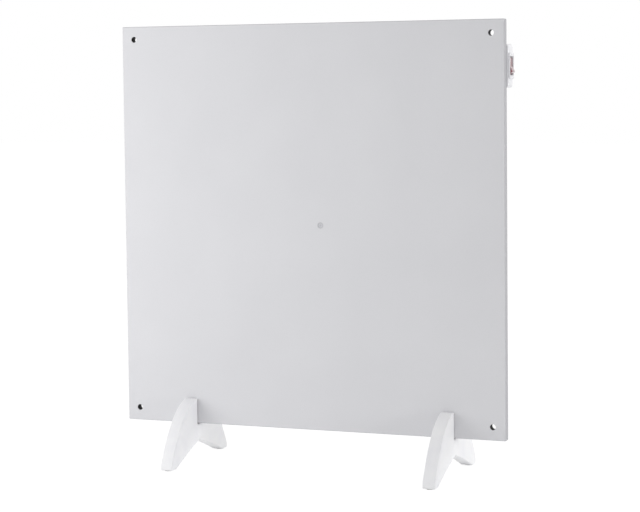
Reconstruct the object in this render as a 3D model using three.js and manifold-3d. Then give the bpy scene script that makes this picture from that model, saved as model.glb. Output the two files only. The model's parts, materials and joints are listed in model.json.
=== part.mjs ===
// Flat radiant panel heater on two slotted feet, in millimetres.
// X points right as seen from the front, Y points back, Z points up, and the floor is at zero.
// The middle of the board's thickness is the plane y = 0, and its upright centre line is x = 0.
import * as THREE from 'three';
import { mergeVertices } from 'three/addons/utils/BufferGeometryUtils.js';
import Module from 'manifold-3d';

const wasm = await Module();
wasm.setup();

// Shared fits: the gap that neighbouring pieces keep, and how far a cutter runs past its work
const fit = 0.3;
const overrun = 1;

// Board: two slabs bonded face to face, with a shallow pocket between them
const boardWidth = 600;
const boardHeight = 600;
const boardLift = 57;
const frontSlab = 6.5;
const backSlab = 5.5;
const boardThickness = frontSlab + backSlab;
const boardCornerRadius = 1.5;
const boardChamfer = 0.8;
const pocketRadius = 6;

// Wall-fixing holes near the corners, each lined from behind
const holeInset = 19.4;
const holeRadius = 4.4;
const holeLip = 1.5;
const linerWall = 0.8;
const linerFlangeRadius = 8;
const linerFlange = 1.2;

// Resistance wire, laid to and fro in a groove in the pocket's floor
const wireRadius = 0.8;
const runCount = 12;
const runMargin = 18;
const returnLegMargin = 12;
const returnLegGap = 24;

// Mat and foil behind the wire
const matThickness = 1.1;
const foilThickness = 0.3;

// Screw through the board near its middle: it stands off it to the right and a little above
const centreScrewShift = 19.6;
const centreScrewRise = 3.9;
const centreShankRadius = 2;
const centreHeadRadius = 3.9;
const centreHeadDepth = 2;
const centreHeadSink = 0.35;
const centreWasherRadius = 6;
const centreWasher = 1;
const centreNutAcross = 7;
const centreNut = 3.2;
const centreTail = 1.2;

// Feet: flat plates standing across the board, gripping it in a slot
const footThickness = 19;
const footGrip = 38;
const footReach = 93;
const footCheek = 6;
const footEdgeRadius = 1.6;
const toeHeight = 8;
const soleLength = 16;
const archRise = 30;
const archShoulderReachShare = 0.48;
const archShoulderHeightShare = 0.62;
const leftFootInset = 107.7;
const rightFootInset = 86;
const frontBulgeReachShare = 0.62;
const frontBulgeHeightShare = 0.85;
const gripLiner = 1.2;
const gripLinerDrop = 2;
const gripLinerWidth = 15;
const soleStand = 1;

// Rubber discs under the toe and heel of each foot
const floorPadRadius = 6;
const floorPadRecess = 1.2;

// Switch box behind the board's right edge
const boxWidth = 58;
const boxHeight = 62;
const boxDepth = 28;
const boxWall = 2.2;
const boxOverhang = 1.4;
const boxRadius = 4;
const boxCrownChamfer = 1.5;
const switchDrop = 66.2;
const bossRadius = 4;
const bossInsetX = 7;
const bossInsetZ = 7;
const boxScrewRadius = 1.6;
const boxScrewHeadRadius = 3.2;
const boxScrewHead = 2;
const boxScrewBite = 4.6;

// Rocker switch in the box's outer side wall
const flangeWidth = 23;
const flangeHeight = 36.4;
const flangeThickness = 2.2;
const flangeRadius = 2.5;
const flangeChamfer = 0.6;
const rockerWidth = 15.4;
const rockerEndRadius = 13;
const rockerFaceHeight = 6;
const rockerTilt = THREE.MathUtils.degToRad(11);
const rockerPivotDepth = 7.4;
const rockerSkirt = 2;
const rockerStemLength = 4.6;
const rockerStemRadius = 1.6;
const rockerRunningGap = 0.4;
const rockerPinRadius = 1;
const switchWall = 1.1;
const switchFloor = 2;
const switchStemRoom = 1.6;
const snapLength = 5;
const snapRise = 1;
const snapHeight = 8;
const bladeWidth = 6.3;
const bladeThickness = 0.8;
const bladeLength = 8;
const bladeSpacing = 14;
const bladeRoot = 1.2;

// Terminal block, cut-out and studs, laid out in the room that the switch leaves in the box.
// Across shares are of that room's width, counted from the inner wall, and the others of its height.
const blockPoles = 3;
const blockPitchShare = 0.235;
const blockAcrossShare = 0.479;
const blockHeightShare = 0.208;
const blockRiseShare = 0.274;
const blockWellShare = 0.25;
const blockDepth = 11;
const blockWellDepth = 4;
const blockGroove = 1.2;
const cutoutRimShare = 0.235;
const cutoutAcrossShare = 0.715;
const cutoutTabShare = 0.57;
const cutoutRimStep = 1;
const cutoutRim = 1.4;
const cutoutHeight = 5.6;
const cutoutTabWidth = 4.8;
const cutoutTabThickness = 0.8;
const cutoutTabLength = 5;
const studAcrossShare = 0.288;
const studDropShare = 0.219;
const studSpacingShare = 0.295;
const studRadius = 1.6;
const studRise = 5;

// Leads between them
const leadRadius = 1.1;
const leadLoop = 7;

// Cable gland in the box's underside and its nut
const glandBore = 3.6;
const glandThreadRadius = 6;
const glandCollarAcross = 17;
const glandCollar = 4;
const glandDomeRadius = 7.2;
const glandMouthRadius = 5.2;
const glandDomeLength = 12;
const glandThreadLength = 9;
const glandNutAcross = 16;
const glandNut = 3.6;
const glandInset = 5;

// Facet counts
const roundSteps = 24;
const smallRoundSteps = 16;
const cornerSteps = 4;
const chamferSteps = 1;
const softEdgeSteps = 2;
const frontCurveSteps = 14;
const turnSteps = 8;
const wireSides = 6;
const leadSides = 6;
const leadSteps = 14;
const sixSides = 6;

// Places worked out from the sizes
const boardFront = -boardThickness / 2;
const boardBack = boardThickness / 2;
const boardBottom = boardLift;
const boardTop = boardLift + boardHeight;
const boardMiddle = boardLift + boardHeight / 2;
const centreScrewZ = boardMiddle + centreScrewRise;
const slabJoint = boardFront + frontSlab;
const pocketDepth = matThickness + foilThickness + 2 * fit;
const pocketFloor = slabJoint - pocketDepth;
const linerRadius = holeRadius + linerWall;
const wirePlane = pocketFloor - fit / 2 - wireRadius;
const footHeight = boardLift + footGrip;
const leftFootX = -boardWidth / 2 + leftFootInset;
const rightFootX = boardWidth / 2 - rightFootInset;
const slotHalf = boardThickness / 2 + gripLiner + 2 * fit;
const slotFloor = boardLift - gripLiner - 2 * fit;
const boxOuterX = boardWidth / 2 + boxOverhang;
const boxMiddleX = boxOuterX - boxWidth / 2;
const boxBack = boardBack + boxDepth;
const boxMiddleY = boardBack + boxDepth / 2;
const switchZ = boardTop - switchDrop;
const flangeFace = boxOuterX + flangeThickness;
const pivotX = flangeFace - rockerPivotDepth;
const windowHalf = rockerEndRadius + rockerRunningGap;
const windowWidth = rockerWidth + 2 * rockerRunningGap;
const switchBodyHalf = windowHalf + switchWall;
const switchBodyWidth = windowWidth + 2 * switchWall;
const switchCavity = rockerPivotDepth + rockerSkirt + rockerStemLength + switchStemRoom;
const switchDepth = switchCavity + switchFloor;
const switchInnerX = flangeFace - switchDepth;
const glandX = boxMiddleX - glandInset;
const glandSeat = switchZ - boxHeight / 2;
const roomLeft = boxOuterX - boxWidth + boxWall;
const roomWidth = switchInnerX - bladeLength - roomLeft;
const roomBottom = glandSeat + boxWall;
const roomHeight = boxHeight - 2 * boxWall;
const roomTop = roomBottom + roomHeight;
const studX = roomLeft + studAcrossShare * roomWidth;
const cutoutX = roomLeft + cutoutAcrossShare * roomWidth;
const cutoutRimRadius = cutoutRimShare * roomWidth;
const cutoutRadius = cutoutRimRadius - cutoutRimStep;
const blockX = roomLeft + blockAcrossShare * roomWidth;
const blockZ = roomBottom + blockRiseShare * roomHeight;
const blockPitch = blockPitchShare * roomWidth;
const blockHeight = blockHeightShare * roomHeight;
const blockWellRadius = blockWellShare * blockPitch;
const topRunZ = roomTop - studDropShare * roomHeight;
const returnLegTop = topRunZ - studSpacingShare * roomHeight;
const runSpan = 2 * (topRunZ - boardMiddle);
const runPitch = runSpan / (runCount - 1);
const turnRadius = runPitch / 2;
const bottomRunZ = boardMiddle - runSpan / 2;
const runReach = studX - returnLegGap;
const pocketWidth = 2 * (studX + returnLegMargin);
const pocketHeight = runSpan + 2 * runMargin;

function paint(colour, roughness, metalness) {
  return new THREE.MeshStandardMaterial({ color: colour, roughness, metalness });
}

const finishes = {
  board: () => paint(0xd9d9db, 0.62, 0),
  footPlastic: () => paint(0xeeeef0, 0.45, 0),
  whitePlastic: () => paint(0xececee, 0.4, 0),
  blackPlastic: () => paint(0x141414, 0.55, 0),
  paleRubber: () => paint(0xc9c9c9, 0.85, 0),
  redRocker: () => paint(0x8a2b3c, 0.3, 0),
  steel: () => paint(0xb9bcbf, 0.35, 1),
  brass: () => paint(0xc8a24a, 0.35, 1),
  resistanceWire: () => paint(0x8b8580, 0.5, 1),
  mineralMat: () => paint(0xcfc8b4, 0.95, 0),
  foil: () => paint(0xd6d8da, 0.25, 1),
  brownLead: () => paint(0x5b3a25, 0.6, 0),
  blueLead: () => paint(0x2a4f86, 0.6, 0),
};

// Turns a three.js geometry into a solid for boolean work
function solidOf(geometry) {
  const bare = geometry.clone();
  bare.deleteAttribute('normal');
  bare.deleteAttribute('uv');
  const merged = mergeVertices(bare);
  const mesh = new wasm.Mesh({
    numProp: 3,
    vertProperties: Float32Array.from(merged.attributes.position.array),
    triVerts: Uint32Array.from(merged.index.array),
  });
  return new wasm.Manifold(mesh);
}

function geometryOf(solid) {
  const { vertProperties, triVerts } = solid.getMesh();
  const geometry = new THREE.BufferGeometry();
  geometry.setAttribute('position', new THREE.BufferAttribute(vertProperties, 3));
  geometry.setIndex(new THREE.BufferAttribute(triVerts, 1));
  geometry.computeVertexNormals();
  return geometry;
}

function subtractAll(body, cutters) {
  return cutters.reduce((result, cutter) => result.subtract(cutter), body);
}

function addAll(body, extras) {
  return extras.reduce((result, extra) => result.add(extra), body);
}

// A block between two corners
function block(x0, x1, y0, y1, z0, z1) {
  const geometry = new THREE.BoxGeometry(x1 - x0, y1 - y0, z1 - z0);
  geometry.translate((x0 + x1) / 2, (y0 + y1) / 2, (z0 + z1) / 2);
  return solidOf(geometry);
}

// An outline in x and z, carried along y
function alongY(shape, y0, y1, options = {}) {
  const bevel = options.bevelEnabled ? options.bevelThickness : 0;
  const settings = { bevelEnabled: false, ...options, depth: y1 - y0 - 2 * bevel };
  const geometry = new THREE.ExtrudeGeometry(shape, settings);
  geometry.rotateX(Math.PI / 2);
  geometry.translate(0, y1 - bevel, 0);
  return geometry;
}

// An outline in y and z, carried along x
function alongX(shape, x0, x1, options = {}) {
  const bevel = options.bevelEnabled ? options.bevelThickness : 0;
  const settings = { bevelEnabled: false, ...options, depth: x1 - x0 - 2 * bevel };
  const geometry = new THREE.ExtrudeGeometry(shape, settings);
  const turn = new THREE.Matrix4().makeBasis(
    new THREE.Vector3(0, 1, 0),
    new THREE.Vector3(0, 0, 1),
    new THREE.Vector3(1, 0, 0),
  );
  geometry.applyMatrix4(turn);
  geometry.translate(x0 + bevel, 0, 0);
  return geometry;
}

// A round bar along y between two planes
function barAlongY(x, z, radius, y0, y1, steps) {
  const geometry = new THREE.CylinderGeometry(radius, radius, y1 - y0, steps);
  geometry.translate(x, (y0 + y1) / 2, z);
  return geometry;
}

// A round bar along z between two planes
function barAlongZ(x, y, radius, z0, z1, steps) {
  const geometry = new THREE.CylinderGeometry(radius, radius, z1 - z0, steps);
  geometry.rotateX(Math.PI / 2);
  geometry.translate(x, y, (z0 + z1) / 2);
  return geometry;
}

// A profile of radius and place along y, spun about the y direction through x and z
function spunAboutY(profile, x, z, steps) {
  const points = profile.map(([radius, y]) => new THREE.Vector2(radius, y));
  const geometry = new THREE.LatheGeometry(points, steps);
  geometry.translate(x, 0, z);
  return geometry;
}

// The same about the upright through x and y, with places along z
function spunAboutZ(profile, x, y, steps) {
  const points = profile.map(([radius, z]) => new THREE.Vector2(radius, z));
  const geometry = new THREE.LatheGeometry(points, steps);
  geometry.rotateX(Math.PI / 2);
  geometry.translate(x, y, 0);
  return geometry;
}

function roundedRectangle(width, height, radius, middleX = 0, middleY = 0) {
  const shape = new THREE.Shape();
  const right = middleX + width / 2;
  const left = middleX - width / 2;
  const high = middleY + height / 2;
  const low = middleY - height / 2;
  const quarter = Math.PI / 2;
  shape.absarc(right - radius, high - radius, radius, 0, quarter, false);
  shape.absarc(left + radius, high - radius, radius, quarter, 2 * quarter, false);
  shape.absarc(left + radius, low + radius, radius, 2 * quarter, 3 * quarter, false);
  shape.absarc(right - radius, low + radius, radius, 3 * quarter, 4 * quarter, false);
  shape.closePath();
  return shape;
}

// A six-sided bar's corner radius, from its size across the flats
function cornerRadiusOfHex(across) {
  return across / Math.sqrt(3);
}

const cornerHoles = [
  ['top_left', -boardWidth / 2 + holeInset, boardTop - holeInset],
  ['top_right', boardWidth / 2 - holeInset, boardTop - holeInset],
  ['bottom_left', -boardWidth / 2 + holeInset, boardBottom + holeInset],
  ['bottom_right', boardWidth / 2 - holeInset, boardBottom + holeInset],
];

const studPlaces = [
  ['upper', studX, topRunZ],
  ['lower', studX, returnLegTop],
];

const boxScrewPlaces = [];
for (const side of [-1, 1]) {
  for (const end of [-1, 1]) {
    const x = boxMiddleX + side * (boxWidth / 2 - bossInsetX);
    const z = switchZ + end * (boxHeight / 2 - bossInsetZ);
    boxScrewPlaces.push([`${end > 0 ? 'upper' : 'lower'}_${side > 0 ? 'outer' : 'inner'}`, x, z]);
  }
}

// The wire's centre line: up-and-down order from the return leg's top to the upper stud.
// Each straight run takes one step and each turn takes turnSteps, so no facet is wasted.
class WirePath extends THREE.Curve {
  constructor() {
    super();
    this.stretches = WirePath.layOut();
    this.steps = this.stretches.reduce((sum, stretch) => sum + stretch.steps, 0);
  }

  static layOut() {
    const line = (x0, z0, x1, z1) => ({
      steps: 1,
      at: (t) => [x0 + (x1 - x0) * t, z0 + (z1 - z0) * t],
    });
    const turn = (x, z, radius, from, to) => ({
      steps: turnSteps,
      at: (t) => {
        const angle = from + (to - from) * t;
        return [x + radius * Math.cos(angle), z + radius * Math.sin(angle)];
      },
    });
    const half = Math.PI / 2;
    const turnCentre = runReach - turnRadius;
    const legTurn = studX - turnRadius;
    const stretches = [
      line(studX, returnLegTop, studX, bottomRunZ + turnRadius),
      turn(legTurn, bottomRunZ + turnRadius, turnRadius, 0, -half),
      line(legTurn, bottomRunZ, -turnCentre, bottomRunZ),
    ];
    for (let run = 1; run < runCount; run += 1) {
      const z = bottomRunZ + run * runPitch;
      const side = run % 2 === 1 ? -1 : 1;
      const start = side < 0 ? 3 * half : -half;
      stretches.push(turn(side * turnCentre, z - turnRadius, turnRadius, start, half));
      const end = run === runCount - 1 ? studX : -side * turnCentre;
      stretches.push(line(side * turnCentre, z, end, z));
    }
    return stretches;
  }

  getPoint(t, target = new THREE.Vector3()) {
    let place = THREE.MathUtils.clamp(t, 0, 1) * this.steps;
    let index = 0;
    while (index < this.stretches.length - 1 && place > this.stretches[index].steps) {
      place -= this.stretches[index].steps;
      index += 1;
    }
    const stretch = this.stretches[index];
    const [x, z] = stretch.at(place / stretch.steps);
    return target.set(x, wirePlane, z);
  }

  getPointAt(u, target) {
    return this.getPoint(u, target);
  }

  getTangentAt(u, target) {
    return this.getTangent(u, target);
  }
}

function circleShape(radius, sides) {
  const points = [];
  for (let side = 0; side < sides; side += 1) {
    const angle = (2 * Math.PI * side) / sides;
    points.push(new THREE.Vector2(radius * Math.cos(angle), radius * Math.sin(angle)));
  }
  return new THREE.Shape(points);
}

function squareShape(halfSize) {
  return new THREE.Shape([
    new THREE.Vector2(-halfSize, -halfSize),
    new THREE.Vector2(halfSize, -halfSize),
    new THREE.Vector2(halfSize, halfSize),
    new THREE.Vector2(-halfSize, halfSize),
  ]);
}

const wirePath = new WirePath();

function heatingWire() {
  return new THREE.ExtrudeGeometry(circleShape(wireRadius, wireSides), {
    steps: wirePath.steps,
    extrudePath: wirePath,
    bevelEnabled: false,
  });
}

// The groove follows the wire and stands open into the pocket
function wireGroove() {
  return solidOf(
    new THREE.ExtrudeGeometry(squareShape(wireRadius + fit), {
      steps: wirePath.steps,
      extrudePath: wirePath,
      bevelEnabled: false,
    }),
  );
}

// The pocket, or what lies in it with a gap all round
function pocketOutline(shrink) {
  const width = pocketWidth - 2 * shrink;
  const height = pocketHeight - 2 * shrink;
  return roundedRectangle(width, height, pocketRadius, 0, boardMiddle);
}

function chamferedSlab(y0, y1) {
  const outline = roundedRectangle(boardWidth, boardHeight, boardCornerRadius, 0, boardMiddle);
  const geometry = alongY(outline, y0, y1, {
    bevelEnabled: true,
    bevelThickness: boardChamfer,
    bevelSize: boardChamfer,
    bevelOffset: -boardChamfer,
    bevelSegments: chamferSteps,
    curveSegments: cornerSteps,
  });
  return solidOf(geometry);
}

function frontBoard() {
  const whole = chamferedSlab(boardFront, boardBack);
  const half = block(
    -boardWidth,
    boardWidth,
    slabJoint,
    boardBack + overrun,
    0,
    boardTop + overrun,
  );
  const pocket = solidOf(
    alongY(pocketOutline(0), pocketFloor, slabJoint + overrun, { curveSegments: cornerSteps }),
  );
  const cutters = [half, pocket, wireGroove()];
  for (const [, x, z] of cornerHoles) {
    const start = boardFront - overrun;
    const end = slabJoint + overrun;
    cutters.push(solidOf(barAlongY(x, z, holeRadius, start, end, roundSteps)));
    const seat = linerRadius + fit;
    cutters.push(solidOf(barAlongY(x, z, seat, boardFront + holeLip, end, roundSteps)));
  }
  const sink = spunAboutY(centreSinkProfile(), centreScrewShift, centreScrewZ, roundSteps);
  cutters.push(solidOf(sink));
  return geometryOf(subtractAll(whole, cutters));
}

// The sink for the board screw's head, with its clearance bore behind
function centreSinkProfile() {
  const bore = centreShankRadius + fit;
  const mouth = centreHeadRadius + fit;
  const coneEnd = boardFront + centreHeadSink + centreHeadDepth + fit;
  return [
    [0, boardFront - overrun],
    [mouth, boardFront - overrun],
    [mouth, boardFront + centreHeadSink + fit],
    [bore, coneEnd],
    [bore, boardBack + overrun],
    [0, boardBack + overrun],
  ];
}

function backBoard() {
  const whole = chamferedSlab(boardFront, boardBack);
  const half = block(
    -boardWidth,
    boardWidth,
    boardFront - overrun,
    slabJoint,
    0,
    boardTop + overrun,
  );
  const start = slabJoint - overrun;
  const end = boardBack + overrun;
  const cutters = [half];
  for (const [, x, z] of cornerHoles) {
    cutters.push(solidOf(barAlongY(x, z, linerRadius + fit, start, end, roundSteps)));
  }
  for (const [, x, z] of studPlaces) {
    cutters.push(solidOf(barAlongY(x, z, studRadius + fit, start, end, smallRoundSteps)));
  }
  for (const [, x, z] of boxScrewPlaces) {
    const foot = boardBack - boxScrewBite - fit;
    cutters.push(solidOf(barAlongY(x, z, boxScrewRadius + fit, foot, end, smallRoundSteps)));
  }
  const bore = centreShankRadius + fit;
  cutters.push(
    solidOf(barAlongY(centreScrewShift, centreScrewZ, bore, start, end, smallRoundSteps)),
  );
  return geometryOf(subtractAll(whole, cutters));
}

// Mat and foil share the pocket's outline and the holes for the screw and the studs
function pocketSheet(y0, y1) {
  const sheet = solidOf(alongY(pocketOutline(fit), y0, y1, { curveSegments: cornerSteps }));
  const cutters = [[centreScrewShift, centreScrewZ, centreShankRadius]];
  for (const [, x, z] of studPlaces) {
    cutters.push([x, z, studRadius]);
  }
  const bars = cutters.map(([x, z, radius]) =>
    solidOf(barAlongY(x, z, radius + fit, y0 - overrun, y1 + overrun, smallRoundSteps)),
  );
  return geometryOf(subtractAll(sheet, bars));
}

function cornerLiner(x, z) {
  const profile = [
    [holeRadius, boardFront + holeLip + fit],
    [linerRadius, boardFront + holeLip + fit],
    [linerRadius, boardBack],
    [linerFlangeRadius, boardBack],
    [linerFlangeRadius, boardBack + linerFlange],
    [holeRadius, boardBack + linerFlange],
    [holeRadius, boardFront + holeLip + fit],
  ];
  return spunAboutY(profile, x, z, roundSteps);
}

function centreScrew() {
  const top = boardFront + centreHeadSink;
  const profile = [
    [0, top],
    [centreHeadRadius, top],
    [centreShankRadius, top + centreHeadDepth],
    [centreShankRadius, boardBack + centreWasher + centreNut + centreTail],
    [0, boardBack + centreWasher + centreNut + centreTail],
  ];
  return spunAboutY(profile, centreScrewShift, centreScrewZ, roundSteps);
}

function centreWasherRing() {
  const inner = centreShankRadius + fit;
  const profile = [
    [inner, boardBack],
    [centreWasherRadius, boardBack],
    [centreWasherRadius, boardBack + centreWasher],
    [inner, boardBack + centreWasher],
    [inner, boardBack],
  ];
  return spunAboutY(profile, centreScrewShift, centreScrewZ, roundSteps);
}

function centreNutHex() {
  const start = boardBack + centreWasher;
  const radius = cornerRadiusOfHex(centreNutAcross);
  const end = start + centreNut;
  const hex = solidOf(barAlongY(centreScrewShift, centreScrewZ, radius, start, end, sixSides));
  const inner = centreShankRadius + fit;
  const bore = solidOf(
    barAlongY(
      centreScrewShift,
      centreScrewZ,
      inner,
      start - overrun,
      end + overrun,
      smallRoundSteps,
    ),
  );
  return geometryOf(hex.subtract(bore));
}

// One foot's outline in y and z: crowned fronts, short upright toes, an arched sole and the slot
function footOutline() {
  const shape = new THREE.Shape();
  const toe = boardThickness / 2 + footReach;
  const cheek = slotHalf + footCheek;
  const bulgeY = boardThickness / 2 + footReach * frontBulgeReachShare;
  const bulgeZ = toeHeight + (footHeight - toeHeight) * frontBulgeHeightShare;
  const archHalf = toe - soleLength;
  const archTop = soleStand + archRise;
  const shoulderY = archHalf * archShoulderReachShare;
  const shoulderZ = soleStand + archRise * archShoulderHeightShare;
  shape.moveTo(-slotHalf, footHeight);
  shape.lineTo(-cheek, footHeight);
  shape.quadraticCurveTo(-bulgeY, bulgeZ, -toe, toeHeight);
  shape.lineTo(-toe, soleStand);
  shape.lineTo(-archHalf, soleStand);
  shape.quadraticCurveTo(-shoulderY, shoulderZ, 0, archTop);
  shape.quadraticCurveTo(shoulderY, shoulderZ, archHalf, soleStand);
  shape.lineTo(toe, soleStand);
  shape.lineTo(toe, toeHeight);
  shape.quadraticCurveTo(bulgeY, bulgeZ, cheek, footHeight);
  shape.lineTo(slotHalf, footHeight);
  shape.lineTo(slotHalf, slotFloor);
  shape.lineTo(-slotHalf, slotFloor);
  shape.closePath();
  return shape;
}

function padPlaces() {
  const place = boardThickness / 2 + footReach - soleLength / 2;
  return [
    ['front', -place],
    ['rear', place],
  ];
}

function foot(middleX) {
  const half = footThickness / 2;
  const body = solidOf(
    alongX(footOutline(), middleX - half, middleX + half, {
      bevelEnabled: true,
      bevelThickness: footEdgeRadius,
      bevelSize: footEdgeRadius,
      bevelOffset: -footEdgeRadius,
      bevelSegments: softEdgeSteps,
      curveSegments: frontCurveSteps,
    }),
  );
  const recesses = padPlaces().map(([, y]) => {
    const top = soleStand + floorPadRecess;
    const radius = floorPadRadius + fit;
    return solidOf(barAlongZ(middleX, y, radius, soleStand - overrun, top + fit, roundSteps));
  });
  return geometryOf(subtractAll(body, recesses));
}

// Rubber channel between the slot and the board
function gripChannel(middleX) {
  const outer = slotHalf - fit;
  const inner = outer - gripLiner;
  const top = footHeight - gripLinerDrop;
  const floor = slotFloor + fit;
  const shape = new THREE.Shape([
    new THREE.Vector2(-outer, top),
    new THREE.Vector2(-outer, floor),
    new THREE.Vector2(outer, floor),
    new THREE.Vector2(outer, top),
    new THREE.Vector2(inner, top),
    new THREE.Vector2(inner, floor + gripLiner),
    new THREE.Vector2(-inner, floor + gripLiner),
    new THREE.Vector2(-inner, top),
  ]);
  const half = gripLinerWidth / 2;
  return alongX(shape, middleX - half, middleX + half);
}

function floorPad(x, y) {
  return barAlongZ(x, y, floorPadRadius, 0, soleStand + floorPadRecess, roundSteps);
}

// Switch box: a tub with its open side on the board, screw bosses in its corners
function switchBox() {
  const outline = roundedRectangle(boxWidth, boxHeight, boxRadius, boxMiddleX, switchZ);
  const crown = {
    bevelEnabled: true,
    bevelThickness: boxCrownChamfer,
    bevelSize: boxCrownChamfer,
    bevelOffset: -boxCrownChamfer,
    bevelSegments: softEdgeSteps,
    curveSegments: cornerSteps,
  };
  const long = solidOf(alongY(outline, boardFront, boxBack, crown));
  const trim = block(
    boxMiddleX - boxWidth,
    boxMiddleX + boxWidth,
    boardFront - overrun,
    boardBack,
    switchZ - boxHeight,
    switchZ + boxHeight,
  );
  const inside = roundedRectangle(
    boxWidth - 2 * boxWall,
    boxHeight - 2 * boxWall,
    boxRadius - boxWall,
    boxMiddleX,
    switchZ,
  );
  const hollow = solidOf(
    alongY(inside, boardBack - overrun, boxBack - boxWall, { curveSegments: cornerSteps }),
  );
  const bosses = boxScrewPlaces.map(([, x, z]) =>
    solidOf(barAlongY(x, z, bossRadius, boardBack, boxBack - boxWall / 2, roundSteps)),
  );
  const shell = addAll(long.subtract(trim).subtract(hollow), bosses);
  const cutters = [];
  const screwSeat = boxBack - boxScrewHead;
  for (const [, x, z] of boxScrewPlaces) {
    const shank = boxScrewRadius + fit;
    const head = boxScrewHeadRadius + fit;
    const outside = boxBack + overrun;
    cutters.push(
      solidOf(barAlongY(x, z, shank, boardBack - overrun, outside, smallRoundSteps)),
      solidOf(barAlongY(x, z, head, screwSeat, outside, smallRoundSteps)),
    );
  }
  const windowY = switchBodyWidth / 2 + fit;
  const windowZ = switchBodyHalf + fit;
  cutters.push(
    block(
      boxOuterX - boxWall - overrun,
      boxOuterX + overrun,
      boxMiddleY - windowY,
      boxMiddleY + windowY,
      switchZ - windowZ,
      switchZ + windowZ,
    ),
  );
  const low = switchZ - boxHeight / 2;
  const glandHole = glandThreadRadius + fit;
  cutters.push(
    solidOf(
      barAlongZ(glandX, boxMiddleY, glandHole, low - overrun, low + boxWall + overrun, roundSteps),
    ),
  );
  return geometryOf(subtractAll(shell, cutters));
}

// A pan-headed screw, its head sunk flush in the box's back wall
function boxScrew(x, z) {
  const tip = boardBack - boxScrewBite;
  const seat = boxBack - boxScrewHead;
  const profile = [
    [0, tip],
    [boxScrewRadius / 2, tip],
    [boxScrewRadius, tip + boxScrewRadius],
    [boxScrewRadius, seat],
    [boxScrewHeadRadius, seat],
    [boxScrewHeadRadius, boxBack - boxScrewHead / 2],
    [boxScrewHeadRadius / 2, boxBack],
    [0, boxBack],
  ];
  return spunAboutY(profile, x, z, smallRoundSteps);
}

// Switch body: flange, open-topped well for the rocker and two snap ribs
function switchBody() {
  const flangeShape = roundedRectangle(
    flangeWidth,
    flangeHeight,
    flangeRadius,
    boxMiddleY,
    switchZ,
  );
  const flange = solidOf(
    alongX(flangeShape, boxOuterX, flangeFace, {
      bevelEnabled: true,
      bevelThickness: flangeChamfer,
      bevelSize: flangeChamfer,
      bevelOffset: -flangeChamfer,
      bevelSegments: softEdgeSteps,
      curveSegments: cornerSteps,
    }),
  );
  const well = block(
    switchInnerX,
    flangeFace - flangeThickness / 2,
    boxMiddleY - switchBodyWidth / 2,
    boxMiddleY + switchBodyWidth / 2,
    switchZ - switchBodyHalf,
    switchZ + switchBodyHalf,
  );
  const hollow = block(
    flangeFace - switchCavity,
    flangeFace + overrun,
    boxMiddleY - windowWidth / 2,
    boxMiddleY + windowWidth / 2,
    switchZ - windowHalf,
    switchZ + windowHalf,
  );
  const pinBore = solidOf(
    barAlongY(
      pivotX,
      switchZ,
      rockerPinRadius + fit,
      boxMiddleY - switchBodyWidth,
      boxMiddleY + switchBodyWidth,
      smallRoundSteps,
    ),
  );
  const body = addAll(flange, [well, snapRib(1), snapRib(-1)]);
  return geometryOf(subtractAll(body, [hollow, pinBore, ...bladeSlots()]));
}

// A wedge that rises from the body's end face towards the flange and stops short of the wall
function snapRib(end) {
  const seat = boxOuterX - boxWall - fit;
  const face = switchZ + end * switchBodyHalf;
  const rootFace = face - end * (switchWall / 2);
  const points = [
    new THREE.Vector2(seat, rootFace),
    new THREE.Vector2(seat, face + end * snapRise),
    new THREE.Vector2(seat - snapLength, face),
    new THREE.Vector2(seat - snapLength, rootFace),
  ];
  const shape = new THREE.Shape(points);
  const half = snapHeight / 2;
  return solidOf(alongY(shape, boxMiddleY - half, boxMiddleY + half));
}

function bladeBlock(z, grow) {
  return [
    switchInnerX - bladeLength,
    switchInnerX + bladeRoot + grow,
    boxMiddleY - bladeWidth / 2 - grow,
    boxMiddleY + bladeWidth / 2 + grow,
    z - bladeThickness / 2 - grow,
    z + bladeThickness / 2 + grow,
  ];
}

function bladeSlots() {
  return bladePlaces().map(([, z]) => block(...bladeBlock(z, fit)));
}

function bladePlaces() {
  return [
    ['upper', switchZ + bladeSpacing / 2],
    ['lower', switchZ - bladeSpacing / 2],
  ];
}

function switchBlade(z) {
  return geometryOf(block(...bladeBlock(z, 0)));
}

// Rocker outline about its pivot, level: two faces that rise to the ends, round ends, a stem below
function rockerOutline() {
  const shape = new THREE.Shape();
  const cos = Math.cos(rockerTilt);
  const sin = Math.sin(rockerTilt);
  const along = Math.sqrt(rockerEndRadius ** 2 - rockerFaceHeight ** 2);
  const tipX = rockerFaceHeight * cos + along * sin;
  const tipZ = along * cos - rockerFaceHeight * sin;
  const tipAngle = Math.atan2(tipZ, tipX);
  const skirtAngle = Math.acos(-rockerSkirt / rockerEndRadius);
  const stemEnd = -rockerSkirt - rockerStemLength + rockerStemRadius;
  shape.moveTo(rockerFaceHeight / cos, 0);
  shape.lineTo(tipX, tipZ);
  shape.absarc(0, 0, rockerEndRadius, tipAngle, skirtAngle, false);
  shape.lineTo(-rockerSkirt, rockerStemRadius);
  shape.absarc(stemEnd, 0, rockerStemRadius, Math.PI / 2, (3 * Math.PI) / 2, false);
  shape.lineTo(-rockerSkirt, -rockerStemRadius);
  shape.absarc(0, 0, rockerEndRadius, -skirtAngle, -tipAngle, false);
  shape.closePath();
  return shape;
}

function rocker() {
  const half = rockerWidth / 2;
  const body = solidOf(alongY(rockerOutline(), -half, half, { curveSegments: turnSteps }));
  const radius = rockerPinRadius + fit;
  const bore = solidOf(barAlongY(0, 0, radius, -rockerWidth, rockerWidth, smallRoundSteps));
  return geometryOf(body.subtract(bore));
}

function rockerPin() {
  const half = switchBodyWidth / 2;
  const y0 = boxMiddleY - half;
  const y1 = boxMiddleY + half;
  return barAlongY(pivotX, switchZ, rockerPinRadius, y0, y1, smallRoundSteps);
}

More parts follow.
